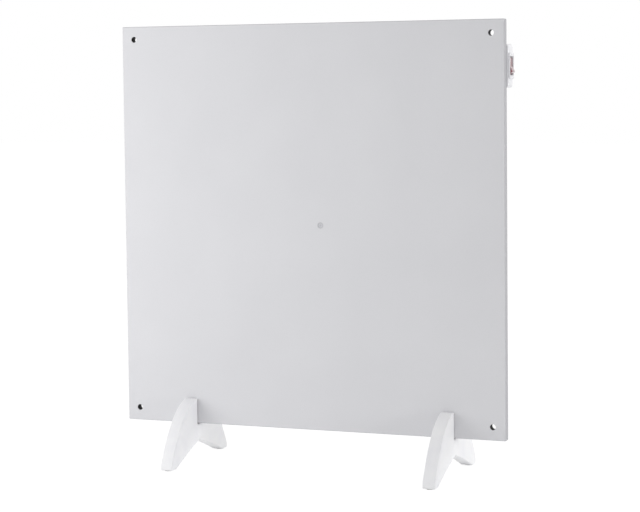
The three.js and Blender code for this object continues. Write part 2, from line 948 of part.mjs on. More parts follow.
// Terminal block: a bar with a groove between its poles and a screw well over each
function terminalBlock() {
  const length = blockPoles * blockPitch;
  const left = blockX - length / 2;
  const low = blockZ - blockHeight / 2;
  const top = boardBack + blockDepth;
  const bar = block(left, left + length, boardBack, top, low, low + blockHeight);
  const cutters = [];
  for (let pole = 0; pole < blockPoles; pole += 1) {
    const x = left + (pole + 0.5) * blockPitch;
    cutters.push(
      solidOf(
        barAlongY(x, blockZ, blockWellRadius, top - blockWellDepth, top + overrun, smallRoundSteps),
      ),
    );
    if (pole > 0) {
      const seam = left + pole * blockPitch;
      cutters.push(
        block(
          seam - blockGroove / 2,
          seam + blockGroove / 2,
          top - blockWellDepth,
          top + overrun,
          low - overrun,
          low + blockHeight + overrun,
        ),
      );
    }
  }
  return geometryOf(subtractAll(bar, cutters));
}

// Bimetal cut-out: a rimmed disc on the board with two tabs on its cap
function thermalCutout() {
  const cap = boardBack + cutoutHeight;
  const disc = solidOf(
    spunAboutY(
      [
        [0, boardBack],
        [cutoutRimRadius, boardBack],
        [cutoutRimRadius, boardBack + cutoutRim],
        [cutoutRadius, boardBack + cutoutRim],
        [cutoutRadius, cap],
        [0, cap],
      ],
      cutoutX,
      topRunZ,
      roundSteps,
    ),
  );
  const tabs = cutoutTabs().map(([x]) =>
    block(
      x - cutoutTabThickness / 2,
      x + cutoutTabThickness / 2,
      cap - cutoutTabThickness,
      cap + cutoutTabLength,
      topRunZ - cutoutTabWidth / 2,
      topRunZ + cutoutTabWidth / 2,
    ),
  );
  return geometryOf(addAll(disc, tabs));
}

function cutoutTabs() {
  const reach = cutoutTabShare * cutoutRadius;
  return [[cutoutX - reach], [cutoutX + reach]];
}

// A stud stands on the end of the wire and comes out through the back board
function elementStud(x, z) {
  const start = pocketFloor + fit;
  return barAlongY(x, z, studRadius, start, boardBack + studRise, smallRoundSteps);
}

// An insulated lead through hand-placed points
function lead(points) {
  const path = new THREE.CatmullRomCurve3(points.map((point) => new THREE.Vector3(...point)));
  return new THREE.ExtrudeGeometry(circleShape(leadRadius, leadSides), {
    steps: leadSteps,
    extrudePath: path,
    bevelEnabled: false,
  });
}

function leads() {
  const bladeTip = switchInnerX - bladeLength - fit;
  const [[, upperBladeZ], [, lowerBladeZ]] = bladePlaces();
  const [[nearTab], [farTab]] = cutoutTabs();
  const tabTop = boardBack + cutoutHeight + cutoutTabLength + fit;
  const studTop = boardBack + studRise + fit;
  const poleSeat = boardBack + blockDepth - blockWellDepth + fit;
  const poleX = (pole) => blockX + (pole - (blockPoles - 1) / 2) * blockPitch;
  const overPole = poleSeat + blockWellDepth + leadLoop;
  const overTab = tabTop + leadLoop;
  const overStud = studTop + leadLoop;
  return {
    lead_supply_to_switch: [
      'brownLead',
      [
        [poleX(2), poleSeat, blockZ],
        [poleX(2), overPole, blockZ],
        [bladeTip - leadLoop, boxMiddleY, lowerBladeZ],
        [bladeTip, boxMiddleY, lowerBladeZ],
      ],
    ],
    lead_switch_to_cutout: [
      'brownLead',
      [
        [bladeTip, boxMiddleY, upperBladeZ],
        [bladeTip - leadLoop / 2, boxMiddleY, upperBladeZ],
        [farTab, overTab, topRunZ],
        [farTab, tabTop, topRunZ],
      ],
    ],
    lead_cutout_to_wire: [
      'brownLead',
      [
        [nearTab, tabTop, topRunZ],
        [nearTab - leadLoop / 2, overTab - leadLoop / 2, topRunZ],
        [studX, overStud, topRunZ],
        [studX, studTop, topRunZ],
      ],
    ],
    lead_wire_to_supply: [
      'blueLead',
      [
        [studX, studTop, returnLegTop],
        [studX, overStud, returnLegTop],
        [poleX(0), overPole, blockZ],
        [poleX(0), poleSeat, blockZ],
      ],
    ],
  };
}

// Cable gland: a neck through the wall, a six-sided collar and a tapering dome, all bored
function cableGland() {
  const collarFace = glandSeat - glandCollar;
  const domeEnd = collarFace - glandDomeLength;
  const neckEnd = glandSeat + glandThreadLength;
  const turned = solidOf(
    spunAboutZ(
      [
        [0, domeEnd],
        [glandMouthRadius, domeEnd],
        [glandDomeRadius, collarFace - glandDomeLength / 2],
        [glandDomeRadius, collarFace],
        [glandThreadRadius, collarFace],
        [glandThreadRadius, neckEnd],
        [0, neckEnd],
      ],
      glandX,
      boxMiddleY,
      roundSteps,
    ),
  );
  const collarRadius = cornerRadiusOfHex(glandCollarAcross);
  const collar = solidOf(
    barAlongZ(glandX, boxMiddleY, collarRadius, collarFace, glandSeat, sixSides),
  );
  const start = domeEnd - overrun;
  const end = neckEnd + overrun;
  const bore = solidOf(barAlongZ(glandX, boxMiddleY, glandBore, start, end, roundSteps));
  return geometryOf(turned.add(collar).subtract(bore));
}

function glandNutHex() {
  const start = glandSeat + boxWall;
  const end = start + glandNut;
  const radius = cornerRadiusOfHex(glandNutAcross);
  const hex = solidOf(barAlongZ(glandX, boxMiddleY, radius, start, end, sixSides));
  const inner = glandThreadRadius + fit;
  const bore = solidOf(
    barAlongZ(glandX, boxMiddleY, inner, start - overrun, end + overrun, roundSteps),
  );
  return geometryOf(hex.subtract(bore));
}

// The heater, put together piece by piece
const heater = new THREE.Group();

function place(name, geometry, finish, parent = heater) {
  const mesh = new THREE.Mesh(geometry, finishes[finish]());
  mesh.name = name;
  parent.add(mesh);
  return mesh;
}

function placeBoard() {
  const matStart = pocketFloor + fit;
  const foilStart = matStart + matThickness;
  place('front_board', frontBoard(), 'board');
  place('heating_wire', heatingWire(), 'resistanceWire');
  place('insulation_mat', pocketSheet(matStart, foilStart), 'mineralMat');
  place('reflector_foil', pocketSheet(foilStart, foilStart + foilThickness), 'foil');
  place('back_board', backBoard(), 'board');
  for (const [name, x, z] of cornerHoles) {
    place(`hole_liner_${name}`, cornerLiner(x, z), 'blackPlastic');
  }
  place('centre_screw', centreScrew(), 'board');
  place('centre_washer', centreWasherRing(), 'steel');
  place('centre_nut', centreNutHex(), 'steel');
}

function placeFoot(side, x) {
  place(`${side}_foot`, foot(x), 'footPlastic');
  place(`${side}_grip_channel`, gripChannel(x), 'paleRubber');
  for (const [end, y] of padPlaces()) {
    place(`${side}_${end}_floor_pad`, floorPad(x, y), 'paleRubber');
  }
}

function placeSwitchBox() {
  place('switch_box', switchBox(), 'whitePlastic');
  for (const [name, x, z] of boxScrewPlaces) {
    place(`box_screw_${name}`, boxScrew(x, z), 'steel');
  }
  for (const [name, x, z] of studPlaces) {
    place(`element_stud_${name}`, elementStud(x, z), 'brass');
  }
  place('thermal_cutout', thermalCutout(), 'steel');
  place('terminal_block', terminalBlock(), 'whitePlastic');
  for (const [name, [finish, points]] of Object.entries(leads())) {
    place(name, lead(points), finish);
  }
  place('cable_gland', cableGland(), 'blackPlastic');
  place('gland_nut', glandNutHex(), 'blackPlastic');
}

function placeSwitch() {
  place('switch_body', switchBody(), 'whitePlastic');
  for (const [name, z] of bladePlaces()) {
    place(`switch_blade_${name}`, switchBlade(z), 'brass');
  }
  place('rocker_pin', rockerPin(), 'steel');
  // At rest the upper half is pressed in
  const moving = place('rocker', rocker(), 'redRocker');
  moving.position.set(pivotX, boxMiddleY, switchZ);
  moving.rotation.y = -rockerTilt;
}

placeBoard();
placeFoot('left', leftFootX);
placeFoot('right', rightFootX);
placeSwitchBox();
placeSwitch();

export default heater;
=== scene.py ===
"""Looks of a flat panel heater on two slotted feet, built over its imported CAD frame."""
import json
import math

import bmesh
import bpy
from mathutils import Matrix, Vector


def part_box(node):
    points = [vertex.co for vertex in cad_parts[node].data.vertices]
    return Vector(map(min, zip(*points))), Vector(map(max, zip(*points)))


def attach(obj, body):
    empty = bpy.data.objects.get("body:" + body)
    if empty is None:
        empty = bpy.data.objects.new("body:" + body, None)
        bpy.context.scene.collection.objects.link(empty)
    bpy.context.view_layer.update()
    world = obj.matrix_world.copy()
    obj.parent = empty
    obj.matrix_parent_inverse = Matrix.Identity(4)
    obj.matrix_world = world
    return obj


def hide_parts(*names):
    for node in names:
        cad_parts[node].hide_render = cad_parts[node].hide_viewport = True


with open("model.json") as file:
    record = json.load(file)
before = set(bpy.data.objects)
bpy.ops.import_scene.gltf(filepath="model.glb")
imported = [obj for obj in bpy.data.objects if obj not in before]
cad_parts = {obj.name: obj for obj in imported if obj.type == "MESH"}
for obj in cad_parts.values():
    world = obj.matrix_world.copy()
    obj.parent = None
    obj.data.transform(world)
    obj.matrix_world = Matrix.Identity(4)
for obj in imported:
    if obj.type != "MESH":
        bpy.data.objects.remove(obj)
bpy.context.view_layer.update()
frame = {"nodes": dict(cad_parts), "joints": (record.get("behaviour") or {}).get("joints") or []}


# Camera
# It stands to the right of the heater, a little lower than its top edge, and looks slightly down
# through a longish lens. The frame is shifted down, as the photograph's is, so that the upright
# edges stay nearly upright.
camera_place = (1.04233, -2.61152, 0.5706)
camera_turn = (86.1408, 0.6202, 21.3985)
camera_lens = 107.61
camera_shift = -0.07

bpy.ops.object.camera_add(
    location=camera_place,
    rotation=[math.radians(angle) for angle in camera_turn],
)
camera = bpy.context.object
camera.name = "photo_camera"
camera.data.lens = camera_lens
camera.data.shift_y = camera_shift
bpy.context.scene.camera = camera


# Board: front and back slabs
# Two slabs of cast mineral board, bonded face to face and coated with a matt off-white stove
# enamel. The cast shows through it as a fine fleck with very slow clouds of tone. Its rim is
# cut square and eased by hand. Its edge faces are painted darker as painted shade, and its edges are
# darkened a little towards the same colour.
mm = 0.001
board_fleck = "CCCCD0"
board_rim_shade = "AEAEB2"
board_roughness = 0.56
fleck_size = 0.9 * mm
cloud_size = 120 * mm
cloud_share = 0.16
rim_shade_share = 0.9
edge_darkening_reach = 0.9 * mm
edge_darkening_share = 0.35


def colour(code):
    """A colour of six hexadecimal digits, taken by the sRGB curve to the linear one of shaders."""
    parts = [int(code[i : i + 2], 16) / 255 for i in (0, 2, 4)]
    return [p / 12.92 if p <= 0.04045 else ((p + 0.055) / 1.055) ** 2.4 for p in parts] + [1.0]


def add_node(tree, kind, inputs=None, **settings):
    """A new shader node. An input given as another node's socket is linked, any other is set."""
    node = tree.nodes.new(kind)
    for key, value in settings.items():
        setattr(node, key, value)
    for key, value in (inputs or {}).items():
        if isinstance(value, bpy.types.NodeSocket):
            tree.links.new(value, node.inputs[key])
        else:
            node.inputs[key].default_value = value
    return node


def add_group(tree, group, inputs):
    """Places a node group in the tree, and gives its outputs."""
    return add_node(tree, "ShaderNodeGroup", inputs, node_tree=group).outputs


def work_out(tree, operation, *values):
    """The result of a sum on sockets or numbers."""
    return add_node(tree, "ShaderNodeMath", dict(enumerate(values)), operation=operation).outputs[0]


def blend_colours(tree, mask, plain, marked):
    """A colour that goes from plain to marked as the mask goes from 0 to 1."""
    return add_node(tree, "ShaderNodeMix", {0: mask, 6: plain, 7: marked}, data_type="RGBA").outputs[2]


def stretch(tree, value, low, high, new_low=0.0, new_high=1.0):
    """A value from low to high, carried to the range from new_low to new_high."""
    ranges = {"From Min": low, "From Max": high, "To Min": new_low, "To Max": new_high}
    return add_node(tree, "ShaderNodeMapRange", {"Value": value, **ranges}).outputs["Result"]


def add_noise(tree, place, size, detail, roughness=0.5):
    """Noise with features about as large as the size, in metres, that a group is given."""
    scale = work_out(tree, "DIVIDE", 1.0, size)
    inputs = {"Vector": place, "Scale": scale, "Detail": detail, "Roughness": roughness}
    return add_node(tree, "ShaderNodeTexNoise", inputs).outputs["Fac"]


def start_group(name, inputs, outputs):
    """An empty shader node group with named sockets, and its input and output nodes."""
    tree = bpy.data.node_groups.new(name, "ShaderNodeTree")
    for label, value in inputs.items():
        kind = "NodeSocketVector" if value is None else "NodeSocketFloat"
        socket = tree.interface.new_socket(label, in_out="INPUT", socket_type=kind)
        if value is not None:
            socket.default_value = value
    for label in outputs:
        tree.interface.new_socket(label, in_out="OUTPUT", socket_type="NodeSocketFloat")
    return tree, tree.nodes.new("NodeGroupInput"), tree.nodes.new("NodeGroupOutput")


def start_material(name, roughness, metallic=0.0):
    """A material, its principled shader and the place on the object, in metres."""
    material = bpy.data.materials.new(name)
    material.use_nodes = True
    shader = material.node_tree.nodes["Principled BSDF"]
    shader.inputs["Roughness"].default_value = roughness
    shader.inputs["Metallic"].default_value = metallic
    place = material.node_tree.nodes.new("ShaderNodeTexCoord").outputs["Object"]
    return material, material.node_tree, shader, place


def finish_surface(tree, shader, tone, height, depth, roughness=None):
    """Gives the shader its colour, a relief as deep as depth in metres, and any roughness."""
    tree.links.new(tone, shader.inputs["Base Color"])
    bump = add_node(tree, "ShaderNodeBump", {"Height": height, "Distance": depth, "Strength": 1.0})
    tree.links.new(bump.outputs["Normal"], shader.inputs["Normal"])
    if roughness is not None:
        tree.links.new(roughness, shader.inputs["Roughness"])


def make_cast_group():
    """Cast board: sharp flecks, slow clouds, and the small relief that the flecks leave."""
    tree, given, out = start_group(
        "cast_board_surface",
        {"Place": None, "Fleck Size": fleck_size, "Cloud Size": cloud_size},
        ["Fleck", "Cloud", "Height"],
    )
    place = given.outputs["Place"]
    grit = add_noise(tree, place, given.outputs["Fleck Size"], detail=3.0, roughness=0.6)
    cloud = add_noise(tree, place, given.outputs["Cloud Size"], detail=2.0, roughness=0.45)
    tree.links.new(stretch(tree, grit, 0.58, 0.72), out.inputs["Fleck"])
    tree.links.new(cloud, out.inputs["Cloud"])
    tree.links.new(grit, out.inputs["Height"])
    return tree


def make_edge_group():
    """Eased edges: a mask that is 1 along them and 0 on the flats beside."""
    tree, given, out = start_group("eased_edges", {"Radius": 0.8 * mm}, ["Edge"])
    rounded = add_node(tree, "ShaderNodeBevel", {"Radius": given.outputs["Radius"]}, samples=6)
    facing = add_node(tree, "ShaderNodeNewGeometry")
    alike = add_node(
        tree,
        "ShaderNodeVectorMath",
        {0: rounded.outputs["Normal"], 1: facing.outputs["Normal"]},
        operation="DOT_PRODUCT",
    )
    tree.links.new(stretch(tree, alike.outputs["Value"], 0.995, 0.85), out.inputs["Edge"])
    return tree


cast_surface = make_cast_group()
eased_edges = make_edge_group()


def make_board_material(name, coat, fleck_share, relief_depth):
    """Matt enamel that lets the cast show through, with painted shade on the rim faces and darkened
    edges.
    """
    material, tree, shader, place = start_material(name, board_roughness)
    cast = add_group(tree, cast_surface, {"Place": place})
    edge = add_group(tree, eased_edges, {"Radius": edge_darkening_reach})
    fleck = stretch(tree, cast["Fleck"], 0.0, 1.0, new_high=fleck_share)
    flecked = blend_colours(tree, fleck, colour(coat), colour(board_fleck))
    cloud = stretch(tree, cast["Cloud"], 0.3, 0.7, new_high=cloud_share)
    clouded = blend_colours(tree, cloud, flecked, colour(board_fleck))
    # The rim faces, which turn away from front and back, are painted darker: painted shade.
    own_faces = add_node(tree, "ShaderNodeTexCoord")
    turned = add_node(tree, "ShaderNodeSeparateXYZ", {0: own_faces.outputs["Normal"]})
    across = work_out(tree, "ABSOLUTE", turned.outputs["Y"])
    rim = stretch(tree, across, 0.85, 0.5, new_high=rim_shade_share)
    rimmed = blend_colours(tree, rim, clouded, colour(board_rim_shade))
    # The edges are darkened a little towards the rim's painted shade colour.
    edge_blend = stretch(tree, edge["Edge"], 0.0, 1.0, new_high=edge_darkening_share)
    tone = blend_colours(tree, edge_blend, rimmed, colour(board_rim_shade))
    smooth, rough = board_roughness - 0.06, board_roughness + 0.08
    roughness = stretch(tree, cast["Height"], 0.3, 0.7, smooth, rough)
    finish_surface(tree, shader, tone, cast["Height"], relief_depth, roughness)
    return material


def dress(node, material):
    """Gives a CAD node that keeps its own mesh its material."""
    kept = frame["nodes"][node]
    kept.data.materials.clear()
    kept.data.materials.append(material)


front_enamel = make_board_material(
    "front_enamel", coat="DEDEE1", fleck_share=0.35, relief_depth=0.05 * mm
)
back_enamel = make_board_material(
    "back_enamel", coat="C9C9C9", fleck_share=0.6, relief_depth=0.12 * mm
)
dress("front_board", front_enamel)
dress("back_board", back_enamel)


# Hole liners
# Four black nylon tubes pushed into the corner holes from behind, each with a round flange that
# bears on the back slab. They are dull moulded parts with a straight bore and a soft flange rim.
liner_gloss = 0.12
liner_wall = 0.8 * mm
liner_flange = 1.2 * mm
liner_rounding = 0.25 * mm
flange_overhang = 2.8 * mm
overcut = 1.0 * mm
crisp_angle = 32
wave_size = 30 * mm
wave_share = 0.35


def clear_selection():
    """Back to object mode with nothing selected, so that an operator acts on new work only."""
    if bpy.context.object and bpy.context.object.mode != "OBJECT":
        bpy.ops.object.mode_set(mode="OBJECT")
    bpy.ops.object.select_all(action="DESELECT")


def take_up(piece):
    """Makes the piece the only one selected."""
    clear_selection()
    piece.select_set(True)
    bpy.context.view_layer.objects.active = piece


def settle(name):
    """Names the primitive just added and sets its place, turn and size into its mesh."""
    piece = bpy.context.object
    piece.name = name
    piece.data.name = name
    bpy.ops.object.transform_apply(location=True, rotation=True, scale=True)
    return piece


def middle(node):
    """The middle of a CAD node's box."""
    low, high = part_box(node)
    return (low + high) / 2


def add_rod(name, radius, centre, low, high, axis="Y", sides=64):
    """A round bar about the centre, from low to high along Y or Z."""
    start, end = Vector(centre), Vector(centre)
    start["XYZ".index(axis)] = low
    end["XYZ".index(axis)] = high
    clear_selection()
    bpy.ops.mesh.primitive_cylinder_add(
        vertices=sides,
        radius=radius,
        depth=(end - start).length,
        location=(start + end) / 2,
        rotation=(math.pi / 2, 0, 0) if axis == "Y" else (0, 0, 0),
    )
    return settle(name)


def edit(piece):
    """Opens the piece in edit mode with nothing selected, until something else is taken up."""
    take_up(piece)
    bpy.ops.object.mode_set(mode="EDIT")
    bpy.ops.mesh.select_mode(type="FACE")
    bpy.ops.mesh.select_all(action="DESELECT")


def pick(piece, wanted, kind="FACE"):
    """Selects the faces, edges or corners that pass the test, by their middle and direction."""
    bpy.ops.mesh.select_mode(type=kind)
    bpy.ops.mesh.select_all(action="DESELECT")
    shape = bmesh.from_edit_mesh(piece.data)
    if kind == "FACE":
        for face in shape.faces:
            face.select_set(wanted(face.calc_center_median(), face.normal))
    elif kind == "EDGE":
        for edge in shape.edges:
            start, end = (corner.co for corner in edge.verts)
            edge.select_set(wanted((start + end) / 2, (end - start).normalized()))
    else:
        for corner in shape.verts:
            corner.select_set(wanted(corner.co, corner.normal))
    shape.select_flush_mode()
    bmesh.update_edit_mesh(piece.data)


def slice_across(point, normal, trim=False):
    """Cuts the mesh in edit mode along a plane, and with trim takes off what is behind it."""
    bpy.ops.mesh.select_all(action="SELECT")
    bpy.ops.mesh.bisect(plane_co=point, plane_no=normal, use_fill=trim, clear_inner=trim)


def round_edges(piece, radius, steps, sharper_than=30):
    """Rounds every edge that is sharper than the angle, and keeps the result in the mesh."""
    take_up(piece)
    rounding = piece.modifiers.new("rounding", "BEVEL")
    rounding.width = radius
    rounding.segments = steps
    rounding.limit_method = "ANGLE"
    rounding.angle_limit = math.radians(sharper_than)
    bpy.ops.object.modifier_apply(modifier=rounding.name)


def cut_out(piece, cutter, operation="DIFFERENCE"):
    """Takes the cutter's shape out of the piece, or adds it, and clears the cutter away."""
    take_up(piece)
    cutting = piece.modifiers.new("cutting", "BOOLEAN")
    cutting.operation = operation
    cutting.object = cutter
    cutting.solver = "EXACT"
    bpy.ops.object.modifier_apply(modifier=cutting.name)
    bpy.data.objects.remove(cutter, do_unlink=True)


def drill(piece, radius, centre, low, high, axis="Y", sides=64):
    """Takes a round hole out of the piece, from low to high along Y or Z."""
    cut_out(piece, add_rod("drill", radius, centre, low, high, axis, sides))


def repeat(piece, name, offset):
    """A copy of the piece with its own mesh, carried by the offset."""
    twin = piece.copy()
    twin.data = piece.data.copy()
    twin.name = name
    twin.data.name = name
    bpy.context.collection.objects.link(twin)
    take_up(twin)
    bpy.ops.object.mode_set(mode="EDIT")
    bpy.ops.mesh.select_all(action="SELECT")
    bpy.ops.transform.translate(value=offset)
    return twin


def hand_over(piece, material, slot, body, *nodes):
    """Smooths the finished piece, gives it its material and puts it in the CAD nodes' place."""
    take_up(piece)
    bpy.ops.object.shade_smooth_by_angle(angle=math.radians(crisp_angle))
    piece.data.materials.clear()
    piece.data.materials.append(material)
    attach(piece, body)
    if nodes:
        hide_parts(*nodes)


def make_moulding_group():
    """Moulded plastic: a fine spark-worn grain, and the slow waviness of thick walls."""
    tree, given, out = start_group(
        "moulding_grain",
        {"Place": None, "Grain Size": 0.4 * mm, "Wave Size": wave_size},
        ["Grain", "Wave", "Height"],
    )
    place = given.outputs["Place"]
    grain = add_noise(tree, place, given.outputs["Grain Size"], detail=2.0, roughness=0.55)
    wave = add_noise(tree, place, given.outputs["Wave Size"], detail=1.0)
    tree.links.new(grain, out.inputs["Grain"])
    tree.links.new(wave, out.inputs["Wave"])
    tree.links.new(work_out(tree, "MULTIPLY_ADD", wave, wave_share, grain), out.inputs["Height"])
    return tree


moulding_grain = make_moulding_group()


def make_moulded_material(name, plain, cooler, edge_highlight_and_wear, roughness, grain_size, grain_depth):
    """Moulded plastic of one colour: it cools a shade lighter or darker, and blends to an edge colour
    along its edges, a painted highlight where that colour is lighter and rubbed paint where it is
    darker.
    """
    material, tree, shader, place = start_material(name, roughness)
    grain = add_group(tree, moulding_grain, {"Place": place, "Grain Size": grain_size})
    edge = add_group(tree, eased_edges, {"Radius": 0.6 * mm})
    wave = stretch(tree, grain["Wave"], 0.3, 0.7)
    waved = blend_colours(tree, wave, colour(plain), colour(cooler))
    # Along the edges the colour blends to the edge colour: a painted highlight on the plastics, bare
    # metal through rubbed paint on the screw head.
    edge_blend = stretch(tree, edge["Edge"], 0.0, 1.0, new_high=0.45)
    tone = blend_colours(tree, edge_blend, waved, colour(edge_highlight_and_wear))
    smooth, rough = roughness - 0.07, roughness + 0.09
    varied = stretch(tree, grain["Grain"], 0.25, 0.75, smooth, rough)
    finish_surface(tree, shader, tone, grain["Height"], grain_depth, varied)
    return material


liner_nylon = make_moulded_material(
    "liner_nylon", plain="0F0F10", cooler="151516", edge_highlight_and_wear="29292B",
    roughness=0.55, grain_size=0.5 * mm, grain_depth=0.01 * mm,
)
liner_shader = liner_nylon.node_tree.nodes["Principled BSDF"]
liner_shader.inputs["Specular IOR Level"].default_value = liner_gloss
liner_low, liner_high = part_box("hole_liner_top_left")
liner_middle = middle("hole_liner_top_left")
bore_radius = (liner_high.x - liner_low.x) / 2 - flange_overhang - liner_wall
tube_radius = bore_radius + liner_wall
flange_front = liner_high.y - liner_flange
liner = add_rod("corner_liner_top_left", tube_radius, liner_middle, liner_low.y, liner_high.y)
edit(liner)
slice_across((0, flange_front, 0), (0, 1, 0))
pick(liner, lambda place, facing: place.y > flange_front and abs(facing.y) < 0.5)
bpy.ops.mesh.extrude_region_shrink_fatten(TRANSFORM_OT_shrink_fatten={"value": flange_overhang})
drill(liner, bore_radius, liner_middle, liner_low.y - overcut, liner_high.y + overcut)
round_edges(liner, liner_rounding, steps=3)
hand_over(liner, liner_nylon, "black_plastic", "heater", "hole_liner_top_left")
for corner in ("top_right", "bottom_left", "bottom_right"):
    twin = repeat(liner, f"corner_liner_{corner}", middle(f"hole_liner_{corner}") - liner_middle)
    hand_over(twin, liner_nylon, "black_plastic", "heater", f"hole_liner_{corner}")


# Middle screw
# A countersunk steel screw through both slabs, its head sprayed over with enamel a shade darker
# than the board's, which leaves the cross recess half filled. Behind the board it takes a washer and a
# nut.
recess_reach = 1.9 * mm
recess_width = 0.75 * mm
recess_depth = 1.1 * mm
recess_taper = 0.45
shank_radius = 2.0 * mm
head_height = 2.0 * mm
nut_play = 0.15 * mm
washer_play = 0.2 * mm
steel_rounding = 0.12 * mm
nut_rounding = 0.35 * mm
stain_size = 2.5 * mm
tooth_depth = 0.006 * mm
hair = 0.01 * mm


def add_block(name, low, high):
    """A block between two corners."""
    low, high = Vector(low), Vector(high)
    clear_selection()
    bpy.ops.mesh.primitive_cube_add(size=1, location=(low + high) / 2, scale=high - low)
    return settle(name)


def cut_cross(piece, centre, direction):
    """Cuts a cross recess that narrows to its floor into a head that faces along Y."""
    bars = []
    for width, length in ((recess_width, 2 * recess_reach), (2 * recess_reach, recess_width)):
        reach = Vector((width, 2 * recess_depth, length))
        bar = add_block("cross_bar", centre - reach / 2, centre + reach / 2)
        edit(bar)
        pick(bar, lambda place, facing: facing.y * direction < -0.5)
        bpy.ops.transform.resize(value=(recess_taper, 1, recess_taper), center_override=tuple(centre))
        bars.append(bar)
    cut_out(bars[0], bars[1], "UNION")
    cut_out(piece, bars[0])


def make_turned_group():
    """Turned or rolled metal: the fine tooth that the tool leaves, and a slow stain."""
    tree, given, out = start_group(
        "turned_metal", {"Place": None, "Tooth Size": 0.3 * mm}, ["Tooth", "Stain"]
    )
    place = given.outputs["Place"]
    tooth = add_noise(tree, place, given.outputs["Tooth Size"], detail=4.0, roughness=0.7)
    blotches = {"Vector": place, "Scale": 1 / stain_size, "Detail": 3.0}
    stain = add_node(tree, "ShaderNodeTexNoise", blotches)
    tree.links.new(tooth, out.inputs["Tooth"])
    tree.links.new(stain.outputs["Fac"], out.inputs["Stain"])
    return tree


turned_metal = make_turned_group()


def make_metal_material(name, bright, dull, roughness, tooth_size=0.3 * mm):
    """Metal that has dulled in patches and is lighter along its edges, partly rubbed bright and partly
    a painted highlight.
    """
    material, tree, shader, place = start_material(name, roughness, metallic=1.0)
    turned = add_group(tree, turned_metal, {"Place": place, "Tooth Size": tooth_size})
    edge = add_group(tree, eased_edges, {"Radius": 0.25 * mm})
    stain = stretch(tree, turned["Stain"], 0.35, 0.7, new_high=0.8)
    stained = blend_colours(tree, stain, colour(bright), colour(dull))
    # Along the edges the colour goes to the bright one: partly rubbed metal, partly a painted
    # highlight.
    tone = blend_colours(tree, edge["Edge"], stained, colour(bright))
    smooth, rough = roughness - 0.06, roughness + 0.12
    varied = stretch(tree, turned["Stain"], 0.3, 0.7, smooth, rough)
    finish_surface(tree, shader, tone, turned["Tooth"], tooth_depth, varied)
    return material


zinc_steel = make_metal_material("zinc_plated_steel", bright="C4C7CA", dull="8F9396", roughness=0.34)
painted_head = make_moulded_material(
    "painted_screw_head", plain="D8D8DC", cooler="D0D0D5", edge_highlight_and_wear="8E9094",
    roughness=0.5, grain_size=0.5 * mm, grain_depth=0.02 * mm,
)
screw_low, screw_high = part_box("centre_screw")
screw_middle = middle("centre_screw")
screw = add_rod("middle_screw", shank_radius, screw_middle, screw_low.y, screw_high.y)
edit(screw)
slice_across((0, screw_low.y + head_height, 0), (0, 1, 0))
pick(screw, lambda place, facing: place.y < screw_low.y + hair, "VERT")
swell = (screw_high.x - screw_low.x) / 2 / shank_radius
bpy.ops.transform.resize(value=(swell, 1, swell), center_override=tuple(screw_middle))
cut_cross(screw, Vector((screw_middle.x, screw_low.y, screw_middle.z)), -1)
round_edges(screw, steel_rounding, steps=2)
hand_over(screw, painted_head, "steel", "heater", "centre_screw")

nut_low, nut_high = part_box("centre_nut")
nut_middle = middle("centre_nut")
nut_reach = (nut_high - nut_low).z / 2
nut = add_rod("middle_nut", nut_reach, nut_middle, nut_low.y, nut_high.y, sides=6)
round_edges(nut, nut_rounding, steps=3)
drill(nut, shank_radius + nut_play, nut_middle, nut_low.y - overcut, nut_high.y + overcut)
hand_over(nut, zinc_steel, "steel", "heater", "centre_nut")

washer_low, washer_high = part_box("centre_washer")
washer_reach = (washer_high - washer_low).x / 2
washer = add_rod("middle_washer", washer_reach, nut_middle, washer_low.y, washer_high.y)
drill(washer, shank_radius + washer_play, nut_middle, washer_low.y - overcut, washer_high.y + overcut)
round_edges(washer, steel_rounding, steps=2)
hand_over(washer, zinc_steel, "steel", "heater", "centre_washer")


# Feet
# Two plates of white moulded plastic that stand across the board and hold it in a slot. The
# front and back edges are crowned, the toes end in a short upright face, and the sole is arched
# between them. Every edge is rounded as the mould leaves it, and the faces are finely grained.
board_half = 6.0 * mm
foot_cheek = 6.0 * mm
slot_half = 7.8 * mm
slot_floor = 55.2 * mm
toe_height = 8.0 * mm
sole_length = 16.0 * mm
arch_rise = 30.0 * mm
arch_reach_share = 0.48
arch_height_share = 0.62
crown_reach_share = 0.62
crown_height_share = 0.85
foot_edge_radius = 1.6 * mm
foot_slices = 34
slice_crowding = 1.4
slice_clearance = 1.3 * foot_edge_radius
least_slice = 0.4 * mm
pad_radius = 6.0 * mm
pad_seat = 1.5 * mm
pad_play = 0.3 * mm


def curve_height(y, start, bend, end):
    """Height at a distance y along a curve that leaves start towards bend and bends to end."""
    along = 0.0
    for step in range(1, 41):
        trial = along + 0.5**step
        if (1 - trial) ** 2 * start[0] + 2 * trial * (1 - trial) * bend[0] + trial**2 * end[0] < y:
            along = trial
    return (1 - along) ** 2 * start[1] + 2 * along * (1 - along) * bend[1] + along**2 * end[1]


def at_slice(y, height):
    """A test for the corners on the slices at y and at -y, at one height."""
    return lambda place, facing: abs(abs(place.y) - y) < hair and abs(place.z - height) < hair


